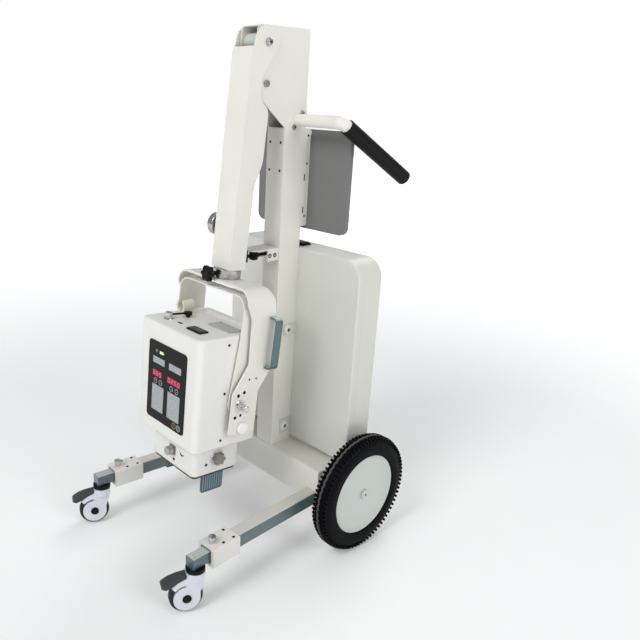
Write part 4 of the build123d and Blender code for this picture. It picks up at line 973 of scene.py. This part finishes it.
@dataclass
class ControlPanel:
    """The keys, windows and lamps on the head's film panel."""

    left: float = -75.0
    top: float = 116.0
    width: float = 150.0
    height: float = 192.0
    face: float = 109.5
    crop: tuple[float, float, float, float] = (152.0, 85.0, 1075.0, 1378.0)
    key_bars: tuple[tuple[float, float, float, float], ...] = ((270, 335, 560, 440), (668, 332, 960, 438))
    key_pads: tuple[tuple[float, float, float, float], ...] = ((275, 793, 565, 1222), (668, 792, 962, 1222))
    windows: tuple[tuple[float, float, float, float], ...] = ((272, 555, 500, 655), (645, 555, 952, 655))
    digits: tuple[str, ...] = ("065", "0250")
    film: float = 0.3
    key_corner: float = 2.0
    rings: tuple[tuple[float, float, int], ...] = (
        (350, 728, 1), (478, 728, -1), (748, 728, 1), (876, 728, -1))
    segments: dict[str, str] = field(default_factory=lambda: {
        "0": "abcdef", "1": "bc", "2": "abged", "3": "abgcd", "4": "fgbc", "5": "afgcd", "6": "afgedc",
        "7": "abc", "8": "abcdefg", "9": "abcdfg"})

    def place(self, px: float, py: float, lift: float = 0.0) -> Seat:
        """Seat on the panel's face at a place of its layout."""
        x0, y0, x1, y1 = self.crop
        x = self.left + (px - x0) / (x1 - x0) * self.width
        up = self.top - (py - y0) / (y1 - y0) * self.height
        return HEAD.front(x, -self.face - lift, up)

    def size(self, width: float, height: float) -> Pair:
        """Width and height of the layout in millimetres."""
        x0, y0, x1, y1 = self.crop
        return width / (x1 - x0) * self.width, height / (y1 - y0) * self.height

    def boxed(self, form: Form, box: Sequence[float], thickness: float, corner: float) -> None:
        """Adds a rounded plate over a box of the layout."""
        width, height = self.size(box[2] - box[0], box[3] - box[1])
        seat = self.place((box[0] + box[2]) / 2, (box[1] + box[3]) / 2)
        form.block(width, height, thickness, seat, corner)

    def frame_line(self, form: Form, px: float, py: float, width: float, height: float, line: float) -> None:
        """Adds a thin rounded outline of a key."""
        outer = rounded(width, height, self.key_corner, 3)
        inner = rounded(width - 2 * line, height - 2 * line, self.key_corner - line, 3)
        low = [form.mesh.verts.new((a, b, 0)) for a, b in outer + inner]
        high = [form.mesh.verts.new((a, b, 0.15)) for a, b in outer + inner]
        count = len(outer)
        face = form.mesh.faces.new
        for step in range(count):
            after = (step + 1) % count
            face((high[step], high[after], high[count + after], high[count + step]))
            face((low[after], low[step], low[count + step], low[count + after]))
            face((low[step], low[after], high[after], high[step]))
            face((low[count + after], low[count + step], high[count + step], high[count + after]))
        form.place(low + high, self.place(px, py, self.film))

    def digit(self, form: Form, figure: str, px: float, py: float, width: float, height: float) -> None:
        """Adds the lit bars of one figure."""
        w, h = self.size(width, height)
        bar, slant = w * 0.17, 0.10
        places = {
            "a": (0, h / 2, w, 0), "g": (0, 0, w, 0), "d": (0, -h / 2, w, 0), "f": (-w / 2, h / 4, h / 2, 1),
            "b": (w / 2, h / 4, h / 2, 1), "e": (-w / 2, -h / 4, h / 2, 1), "c": (w / 2, -h / 4, h / 2, 1)}
        for segment in self.segments[figure]:
            a, b, length, upright = places[segment]
            half, thin = length / 2 - bar * 0.55, bar / 2
            shape = [(-half, 0), (-half + thin, -thin), (half - thin, -thin), (half, 0), (half - thin, thin),
                     (-half + thin, thin)]
            if upright:
                shape = [(-v, u) for u, v in shape]
            shape = [(u + a + slant * (v + b), v + b) for u, v in shape]
            form.plate(shape, 0.2, self.place(px, py, self.film))

    def build(self, paints: Paintbox) -> None:
        """Makes the keys, the windows with figures, the ring buttons and the lamps."""
        keys, lines, windows, figures = Form(), Form(), Form(), Form()
        for box in self.key_bars + self.key_pads:
            self.boxed(keys, box, self.film, 1.5)
        key_width, key_height = self.size(78, 82)
        for left in (355, 748):
            for column in (0, 126):
                for row in (882, 1008, 1135):
                    self.frame_line(lines, left + column, row, key_width, key_height, 0.7)
        for px in (352, 482):
            self.frame_line(lines, px, 387, 11.0, 11.0, 0.6)
        for px in (725, 812, 897):
            lines.turned(((0, 0.3), (1.1, 0.3), (1.1, 0.5), (0, 0.5)), self.place(px, 380), 12)
        for index, box in enumerate(self.windows):
            self.boxed(windows, box, 0.25, 1.0)
            width = (box[2] - box[0]) / len(self.digits[index])
            for step, figure in enumerate(self.digits[index]):
                self.digit(figures, figure, box[0] + width * (step + 0.5), (box[1] + box[3]) / 2,
                           width * 0.50, (box[3] - box[1]) * 0.62)
        rings = Form()
        for px, py, way in self.rings:
            self.hoop(rings, 6.5, 5.5, self.place(px, py))
            rings.plate([(-2.4 * way, -1.2 * way), (0, 0.6 * way), (2.4 * way, -1.2 * way), (0, 1.6 * way)],
                        0.3, self.place(px, py))
        self.hoop(rings, 7.3, 6.2, self.place(963, 1293))
        self.hoop(rings, 3.4, 2.6, self.place(963, 1293), 20)
        yellow = Form()
        self.hoop(yellow, 7.3, 6.2, self.place(855, 1293))
        yellow.block(1.0, 6.0, 0.3, self.place(855, 1293), 0.4)
        signal = Form()
        for radius in (2.6, 4.6, 6.6):
            self.arc(signal, radius, 0.8, self.place(348, 262))
        signal.turned(((0, 0), (0.9, 0), (0.9, 0.3), (0, 0.3)), self.place(348, 262), 12)
        lamp = Form()
        self.boxed(lamp, (430, 220, 518, 262), self.film, 1.0)
        lamp.block(1.6, 3.0, self.film, self.place(526, 241), 0.4)
        keys.piece("panel_keys", "panel_key", "head", paints)
        lines.piece("panel_key_lines", "panel_print", "head", paints)
        windows.piece("panel_windows", "digit_window", "head", paints)
        figures.piece("panel_figures", "digit_red", "head", paints)
        rings.piece("panel_ring_buttons", "panel_print", "head", paints)
        yellow.piece("panel_yellow_button", "panel_yellow", "head", paints)
        signal.piece("panel_signal_mark", "panel_print", "head", paints)
        lamp.piece("panel_battery_lamp", "lamp_green", "head", paints)

    @staticmethod
    def hoop(form: Form, outer: float, inner: float, seat: Seat, steps: int = 28) -> None:
        """Adds a thin ring."""
        form.turned(((outer, 0), (outer, 0.3), (inner, 0.3), (inner, 0)), seat, steps)

    @staticmethod
    def arc(form: Form, radius: float, line: float, seat: Seat) -> None:
        """Adds a short upward arc of a signal mark."""
        points = []
        for step in range(9):
            angle = math.radians(45 + 90 * step / 8)
            points.append((radius * math.cos(angle), radius * math.sin(angle)))
        for step in range(8, -1, -1):
            angle = math.radians(45 + 90 * step / 8)
            points.append(((radius - line) * math.cos(angle), (radius - line) * math.sin(angle)))
        form.plate(points, 0.3, seat)


@dataclass
class Collimator:
    """The knobs, blade ribs and screws of the box under the head."""

    front: float = 80.0
    half_width: float = 85.5
    middle: float = -146.5
    blade_rear: float = -14.0
    blade_middle: float = -214.2
    blade_x: float = 73.0
    ribs: int = 9

    def build(self, paints: Paintbox, repeats: Repeats) -> None:
        """Makes the front knob on its square plate, the side knobs on their dials and the blades' ribs."""
        seat = HEAD.front(0, -self.front, self.middle)
        Form().block(24, 24, 2.0, seat, 2.0).piece("front_knob_plate", "knob_grey", "head", paints, 0.4)
        knob = Form().turned(
            ((0, 1.5), (6.5, 1.5), (6.5, 4), (10.5, 4), (10.5, 5, Section.KNURL), (10.5, 17, Section.KNURL),
             (9.8, 18.5), (8.0, 19), (0, 18.2)), seat, 72)
        knob = knob.piece("front_knob", "bright_steel", "head", paints)
        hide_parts("collimator_knobs")
        for end, word in WORD_OF.items():
            side = HEAD.side(end, end * self.half_width, self.blade_rear, self.middle)
            Form().turned(((0, 0), (21, 0), (21, 0.8), (20.4, 1.2), (0, 1.2)), side, 64).piece(
                "side_dial_" + word, "head_shell", "head", paints)
            tick = Form().plate([(17.6, -0.4), (20.2, -0.4), (20.2, 0.4), (17.6, 0.4)], 0.3, HOME)
            marks = [side.moved(out=1.2).turned(step * 20.0 + 30.0) for step in range(12)]
            repeats.at("dial_marks_" + word, tick, marks, "dark_screw", "head")
            Form().turned(
                ((0, 1.0), (9, 1.0), (9, 4), (16, 4.5, Section.STAR), (16, 15, Section.STAR),
                 (14.5, 17.5, Section.STAR), (7, 18.4), (0, 18.0)), side, 48).piece(
                     "side_knob_" + word, "knob_grey", "head", paints)
        window = Form().block(162, 128, 5.5, HEAD.top(0, -self.front + 68, -191.5), 10.0)
        window = window.piece("window_frame", "pedal_plastic", "head", paints, 0.5)
        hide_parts("base_plate")
        rib = Form().block(2.4, 40.0, 0.9, HOME, 0.7)
        seats = []
        for end in (1, -1):
            for step in range(self.ribs):
                rear = self.blade_rear - 27 + 54 * step / (self.ribs - 1)
                seats.append(HEAD.side(end, end * (self.blade_x + 1.7), rear, self.blade_middle))
                seats.append(HEAD.side(-end, end * (self.blade_x - 1.7), rear, self.blade_middle))
        repeats.at("blade_ribs", rib, seats, "blade_rib", "head")
        screws = [HEAD.front(7.5, -self.front, -169.3)]
        for end in (1, -1):
            screws.append(HEAD.side(end, end * self.half_width, -44, -159.5))
        repeats.at("collimator_screws", small_screw(3.4), screws, "dark_screw", "head")
        notch = Form()
        self.crescent(notch, 9.0, HEAD.front(37.9, -self.front, -139.5).turned(-100.0))
        notch.piece("centring_mark", "dark_screw", "head", paints)

    @staticmethod
    def crescent(form: Form, radius: float, seat: Seat) -> None:
        """Adds a flat half-moon."""
        outer = [(radius * math.cos(t), radius * math.sin(t)) for t in
                 (math.radians(-80 + 160 * step / 10) for step in range(11))]
        inner = [(0.55 * radius * math.cos(t), 0.98 * radius * math.sin(t)) for t in
                 (math.radians(80 - 160 * step / 10) for step in range(11))]
        form.plate(outer + inner[1:-1], 0.5, seat)


@dataclass
class HeadTop:
    """What stands on the head: connectors, lever, inlet, rocker and the cover plate."""

    top: float = 160.0
    connectors: tuple[Pair, ...] = ((-62.0, -68.0), (92.0, 40.0))
    lever: Pair = (-54.0, -18.0)
    lever_rise: float = 10.0
    inlet: Pair = (46.0, -64.0)
    plate: Pair = (55.0, 8.0)
    rocker: Pair = (-20.0, -64.0)
    half_width: float = 116.0

    def build(self, paints: Paintbox, repeats: Repeats) -> None:
        """Makes the fittings on the head's top and the screws in its sides."""
        form = Form()
        for x, rear in self.connectors:
            form.turned(
                ((0, 0), (11, 0), (11, 2.6, Section.HEX), (10.4, 3, Section.HEX), (8, 3), (8, 5),
                 (9, 5.2, Section.KNURL), (9, 13, Section.KNURL), (8, 14), (8, 16), (6.6, 16),
                 (6.6, 12), (0, 12)),
                HEAD.top(x, rear, self.top), 72)
        chrome = form.piece("head_connectors", "chrome", "head", paints)
        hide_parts("top_connectors")
        seats = []
        for end in (1, -1):
            for rear, up in ((-27, 141), (-30, 27), (-32, -87)):
                seats.append(HEAD.side(end, end * self.half_width, rear, up))
        repeats.at("head_side_screws", small_screw(3.2), seats, "dark_screw", "head")
        socket = Form()
        x, rear = self.inlet
        socket.block(40, 18, 0.8, HEAD.top(x, rear, self.top + 3), 2.0)
        socket.piece("inlet_insert", "pedal_plastic", "head", paints, 0.3)
        pins = Form()
        for shift in (-8, 0, 8):
            pins.block(2.0, 5.0, 0.9, HEAD.top(x + shift, rear, self.top + 3.8), 0.4)
        pins.piece("inlet_pins", "bright_steel", "head", paints)
        x, rear = self.plate
        repeats.at("cover_plate_screws", small_screw(2.6, 1.2),
                   [HEAD.top(x + a, rear + b, self.top + 1.5) for a in (-35, 35) for b in (-15, 15)],
                   "bright_steel", "head")
        slot = Form().block(16, 6, 1.2, HEAD.top(*self.rocker, self.top), 2.8)
        slot.piece("rocker_surround", "black_plastic", "head", paints, 0.3)
        Form().block(8, 3.4, 2.4, HEAD.top(*self.rocker, self.top), 1.4).piece(
            "rocker_key", "chrome", "head", paints, 0.3)
        self.lever_and_knob(paints)
        cover = Form().block(82, 40, 1.6, HEAD.top(x, rear, self.top), 3.0)
        cover = cover.piece("cover_plate", "cover_grey", "head", paints, 0.4)
        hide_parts("service_plate")

    def lever_and_knob(self, paints: Paintbox) -> None:
        """Makes the thin lever from the left connector and the mushroom knob at its end."""
        x, rear = self.lever
        form = Form().turned(
            ((0, 0), (5, 0), (5, 5.4), (9.4, 6.0), (10, 7.0, Section.KNURL), (10, 11.8, Section.KNURL),
             (8.6, 13.4), (5, 14.0), (0, 14.2)), HEAD.top(x, rear, self.top), 72)
        root = HEAD.at(*self.connectors[0], self.top + self.lever_rise)
        along = HEAD.at(x, rear, self.top + self.lever_rise) - root
        length = along.length
        along.normalize()
        across = along.cross(Vector((0, 0, 1))).normalized()
        seat = Seat(root + along * 7.5, across, along.cross(across), along)
        form.turned(((0, 0), (2.5, 0), (2.5, length - 12), (0, length - 12)), seat, 16)
        knob = form.piece("lever_knob", "black_plastic", "head", paints)
        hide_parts("top_lever")


@dataclass
class ArmFittings:
    """What sits on the swing arm and the yoke."""

    yoke_half: float = 135.0
    pivot_reach: float = 38.6

    def build(self, paints: Paintbox, repeats: Repeats) -> None:
        """Makes the bolts, screws and knobs of the arm and the yoke."""
        pivots = [ARM.side(end, end * self.pivot_reach, 0, 0) for end in (1, -1)]
        bolts(repeats, "pivot_bolt_heads", (6.0, 3.6, 8.0), pivots, "chrome", "stand")
        for end, word in WORD_OF.items():
            pin = STAND.side(end, end * self.yoke_half, HEAD.y, HEAD.z)
            Form().turned(
                ((0, -0.3), (12.5, -0.3), (12.5, 2.0), (11.5, 2.8), (8.6, 3.0), (8.6, 5, Section.KNURL),
                 (8.6, 12, Section.KNURL), (7.2, 13), (7.2, 24.0), (8.0, 24.6), (8.0, 27), (6.6, 28),
                 (0, 28.2)), pin, 72).piece("tilt_plunger_" + word, "chrome", "yoke", paints)
        lower = STAND.side(1, self.yoke_half, -274.0, 354.0)
        Form().turned(
            ((0, 0), (11, 0), (11, 2), (13.6, 2.5), (13.6, 7.5), (12, 9), (0, 9.4)), lower, 48).piece(
                "yoke_knob_right", "white_nylon", "yoke", paints)
        # dark discs painted at the yoke's holes, standing in for the shade inside them
        hole_shade = Form()
        for y, z, radius in ((-284.0, 436.0, 4.2), (-267.0, 440.0, 4.2), (-293.0, 384.0, 4.2),
                             (-277.0, 386.0, 3.4), (-256.0, 390.0, 3.6)):
            for end in (1, -1):
                spot = STAND.side(end, end * self.yoke_half, y, z)
                hole_shade.turned(
                    ((0, -0.4), (radius, -0.4), (radius, 0.25), (radius - 0.6, 0.25), (0, 0.1)), spot, 24)
        hole_shade.piece("yoke_holes", "black_plastic", "yoke", paints)
        seat = YOKE.front(-3.0, -31.0, 10.5)
        star = Form().turned(
            ((0, 0), (5.5, 0), (5.5, 14), (8, 14.5), (17, 15.5, Section.STAR), (19.5, 18, Section.STAR),
             (19.5, 28, Section.STAR), (17, 31, Section.STAR), (9, 32), (8, 30.5), (0, 30.5)), seat, 72)
        star = star.piece("clamp_star_knob", "black_plastic", "yoke", paints)
        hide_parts("clamp_knob")
        tiny = [YOKE.side(end, end * self.yoke_half, rear, -206) for end in (1, -1) for rear in (-14, 6)]
        repeats.at("yoke_screws", small_screw(2.4, 1.0), tiny, "dark_screw", "yoke")


@dataclass
class StandFittings:
    """Bolts and screws of the mast, the handles, the case, the tray and the base."""

    mast_half: float = 28.5
    strap: float = 3.0
    flange: Pair = (-38.0, 1025.0)
    flange_turn: float = 51.0
    catch_z: float = 713.0

    def build(self, paints: Paintbox, repeats: Repeats) -> None:
        """Makes the bolts and screws that the stand shows."""
        flange = []
        turn, (rear, up) = math.radians(self.flange_turn), self.flange
        for end in (1, -1):
            for along in (-20.0, 20.0):
                flange.append(STAND.side(end, end * (self.mast_half + self.strap),
                                         rear + along * math.cos(turn), up + along * math.sin(turn)))
        bolts(repeats, "flange_bolts", (4.5, 3.0, 6.5), flange, "bright_steel", "stand")
        repeats.at("mast_front_screws", small_screw(3.0, 1.2),
                   [STAND.front(x, -77.0, z) for x in (-18, 18) for z in (911, 975)], "dark_screw", "stand")
        case = [STAND.side(end, end * (self.mast_half + self.strap), y, z)
                for end in (1, -1) for y, z in ((-39, 515), (-36, 244))]
        ring = Form().turned(
            ((12.5, -0.2), (12.5, 3.5, Section.STAR), (11.5, 5.5, Section.STAR), (9, 6.2), (6.4, 6.2),
             (6.4, -0.2)), HOME, 48)
        repeats.at("case_bolt_rings", ring, case, "white_nylon", "stand")
        bolts(repeats, "case_bolts", (6.2, 4.0, 0.0), case, "chrome", "stand")
        marks = [STAND.side(1, self.mast_half, 1.0, z) for z in (990, 925, 800)]
        repeats.at("tray_arm_screws", small_screw(2.6, 1.0), marks, "dark_screw", "stand")
        slot = Form().block(3.0, 16.0, 0.4, HOME, 1.4)
        repeats.at("tray_arm_slots", slot, [STAND.side(1, self.mast_half, -5.0, z) for z in (893, 815)],
                   "black_plastic", "stand")
        plate = [STAND.side(end, end * 25.0, y, self.catch_z) for end in (1, -1) for y in (-104, -88)]
        collar = Form().turned(((0, -0.3), (5.4, -0.3), (5.4, 0.5), (4.2, 0.9), (0, 0.9)), HOME, 28)
        repeats.at("bracket_screw_rings", collar, plate, "dark_screw", "stand")
        repeats.at("bracket_screws", small_screw(3.0, 1.8), plate, "chrome", "stand")
        star = Form().turned(
            ((0, 0), (4, 0), (4, 44), (6, 44.5), (11.5, 46, Section.STAR), (12.2, 48, Section.STAR),
             (12.2, 60, Section.STAR), (10, 63, Section.STAR), (4.2, 64), (4, 64.2), (4, 78), (0, 78)),
            STAND.front(0, -80.0, self.catch_z), 72)
        star = star.piece("latch_star_knob", "black_plastic", "stand", paints)
        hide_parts("latch_screw")


@dataclass
class FrontCorner:
    """The leg block's screws and the caster's caps on one side."""

    side: int
    splay: float = 3.7
    root: tuple[float, float, float] = (182.0, -77.0, 122.5)
    swivel: Pair = (206.39, -454.21)
    turn: float = -23.0
    trail: float = 22.0
    axle_z: float = 38.0
    cap_reach: float = 18.0
    block_top: float = 21.5

    @property
    def word(self) -> str:
        """Name of the side."""
        return WORD_OF[self.side]

    def on_leg(self, along: float, across: float, up: float) -> Seat:
        """Seat on top of the leg's line, along it from the base and across it."""
        c, s = math.cos(math.radians(self.splay)), math.sin(math.radians(self.splay))
        forward = Vector((self.side * s, -c, 0))
        sideways = Vector((c, self.side * s, 0))
        x, y, z = self.root
        origin = Vector((self.side * x, y, z)) + forward * along + sideways * across
        return Seat(origin + Vector((0, 0, up)), sideways, -forward, Vector((0, 0, 1)))

    def build(self, paints: Paintbox, repeats: Repeats) -> None:
        """Makes the block's screws and the caster's cap discs."""
        seats = [self.on_leg(along, across, self.block_top) for along in (282, 312) for across in (-17, 17)]
        repeats.at("block_screws_" + self.word, small_screw(3.4, 1.4), seats, "dark_screw", "stand")
        swivel = Vector((self.side * self.swivel[0], self.swivel[1], self.axle_z))
        c, s = math.cos(math.radians(self.turn)), math.sin(math.radians(self.turn))
        rear, sideways = Vector((-s, c, 0)), Vector((c, s, 0))
        middle = swivel - rear * self.trail
        caps = Form()
        for end in (1, -1):
            seat = Seat(middle + sideways * end * self.cap_reach, rear * end, Vector((0, 0, 1)),
                        sideways * end)
            caps.turned(((0, -0.5), (9.2, -0.5), (9.2, 0.3), (7.5, 0.9), (0, 0.6)), seat, 32)
        caps.piece("caster_caps_" + self.word, "black_plastic", "caster_" + self.word, paints)


@dataclass
class Studio:
    """The floor, the lights and the camera, in metres where no other unit is said."""

    focal_px: float = 676.6
    image: float = 640.0
    centre: Pair = (237.5, 318.8)
    yaw: float = 50.0
    pitch: float = 18.3
    roll: float = -1.4
    position_mm: tuple[float, float, float] = (1192.7, -1180.0, 1076.9)
    sensor_mm: float = 36.0
    # Distance from the middle and the painted glow of the floor there, standing in for lamp light
    floor_near: Pair = (1.2, 0.12)
    floor_far: Pair = (5.0, 0.95)
    # Name, place, diameter and power of each lamp
    lamps: tuple[tuple[str, tuple[float, float, float], float, float], ...] = (
        ("key", (0.6, -4.6, 4.6), 2.6, 165.0), ("fill", (5.2, 0.4, 3.4), 3.4, 105.0),
        ("back", (-1.6, 4.6, 5.4), 3.6, 110.0))
    aim: tuple[float, float, float] = (0.0, -0.15, 0.55)
    surround: float = 0.42
    half_floor: float = 9.0
    clip: Pair = (0.05, 40.0)

    def build(self, paints: Paintbox) -> None:
        """Makes the stage."""
        self.floor(paints)
        self.lights()
        self.camera()
        bpy.context.scene.view_settings.view_transform = "Standard"

    def floor(self, paints: Paintbox) -> None:
        """Lays a pale floor with a painted glow that brightens towards its far edge, standing in for the
        light on a lit studio sweep.
        """
        mesh = bpy.data.meshes.new("floor")
        form = bmesh.new()
        bmesh.ops.create_grid(form, x_segments=8, y_segments=8, size=self.half_floor)
        form.to_mesh(mesh)
        form.free()
        mesh.materials.append(paints["floor_grey"])
        tree = paints["floor_grey"].node_tree
        place, reach = tree.nodes.new("ShaderNodeTexCoord"), tree.nodes.new("ShaderNodeVectorMath")
        spread = tree.nodes.new("ShaderNodeMapRange")
        reach.operation = "LENGTH"
        tree.links.new(place.outputs["Object"], reach.inputs[0])
        tree.links.new(reach.outputs["Value"], spread.inputs["Value"])
        (near, dim), (far, bright) = self.floor_near, self.floor_far
        give(spread, {"From Min": near, "From Max": far, "To Min": dim, "To Max": bright})
        # painted light: the floor glows more with distance from the middle
        tree.links.new(spread.outputs["Result"], tree.nodes["Principled BSDF"].inputs["Emission Strength"])
        floor = linked("floor", mesh)

    def lights(self) -> None:
        """Sets a white surround and the large soft lamps."""
        world = bpy.data.worlds.new("surround")
        bpy.context.scene.world = world
        world.use_nodes = True
        tree = world.node_tree
        tree.nodes.clear()
        seen, lit = tree.nodes.new("ShaderNodeBackground"), tree.nodes.new("ShaderNodeBackground")
        give(seen, {"Color": (1.0, 1.0, 1.0, 1.0)})
        give(lit, {"Color": (0.96, 0.98, 1.0, 1.0), "Strength": self.surround})
        path, mix = tree.nodes.new("ShaderNodeLightPath"), tree.nodes.new("ShaderNodeMixShader")
        out = tree.nodes.new("ShaderNodeOutputWorld")
        tree.links.new(path.outputs["Is Camera Ray"], mix.inputs[0])
        tree.links.new(lit.outputs[0], mix.inputs[1])
        tree.links.new(seen.outputs[0], mix.inputs[2])
        tree.links.new(mix.outputs[0], out.inputs["Surface"])
        for name, place, size, power in self.lamps:
            data = bpy.data.lights.new(name, "AREA")
            data.shape = "DISK"
            data.size = size
            data.energy = power
            lamp = linked(name, data)
            lamp.location = place
            aim = Vector(self.aim) - Vector(place)
            lamp.rotation_euler = aim.to_track_quat("-Z", "Y").to_euler()

    def camera(self) -> None:
        """Sets the camera where the photograph was taken from."""
        yaw, pitch, roll = (math.radians(value) for value in (self.yaw, self.pitch, self.roll))
        ahead = Vector((-math.sin(yaw) * math.cos(pitch), math.cos(yaw) * math.cos(pitch), -math.sin(pitch)))
        right = Vector((math.cos(yaw), math.sin(yaw), 0))
        down = ahead.cross(right)
        right, down = (right * math.cos(roll) + down * math.sin(roll),
                       down * math.cos(roll) - right * math.sin(roll))
        data = bpy.data.cameras.new("camera")
        data.sensor_width = self.sensor_mm
        data.lens = self.sensor_mm * self.focal_px / self.image
        data.shift_x = (self.image / 2 - self.centre[0]) / self.image
        data.shift_y = (self.centre[1] - self.image / 2) / self.image
        data.clip_start, data.clip_end = self.clip
        camera = linked("camera", data)
        turn = Matrix((right, -down, -ahead)).transposed().to_4x4()
        camera.matrix_world = Matrix.Translation(Vector(self.position_mm) * MM) @ turn
        bpy.context.scene.camera = camera


def main() -> None:
    """Builds the dressing in order and reports each piece."""
    logging.basicConfig(level=logging.INFO, format="%(name)s %(message)s")
    paints = Paintbox()
    paints.dress_nodes()
    repeats = Repeats(paints)
    for side in (1, -1):
        RearWheel(side).build(paints, repeats)
        FrontCorner(side).build(paints, repeats)
    ControlPanel().build(paints)
    Collimator().build(paints, repeats)
    HeadTop().build(paints, repeats)
    ArmFittings().build(paints, repeats)
    StandFittings().build(paints, repeats)
    Studio().build(paints)


if __name__ == "__main__":
    main()
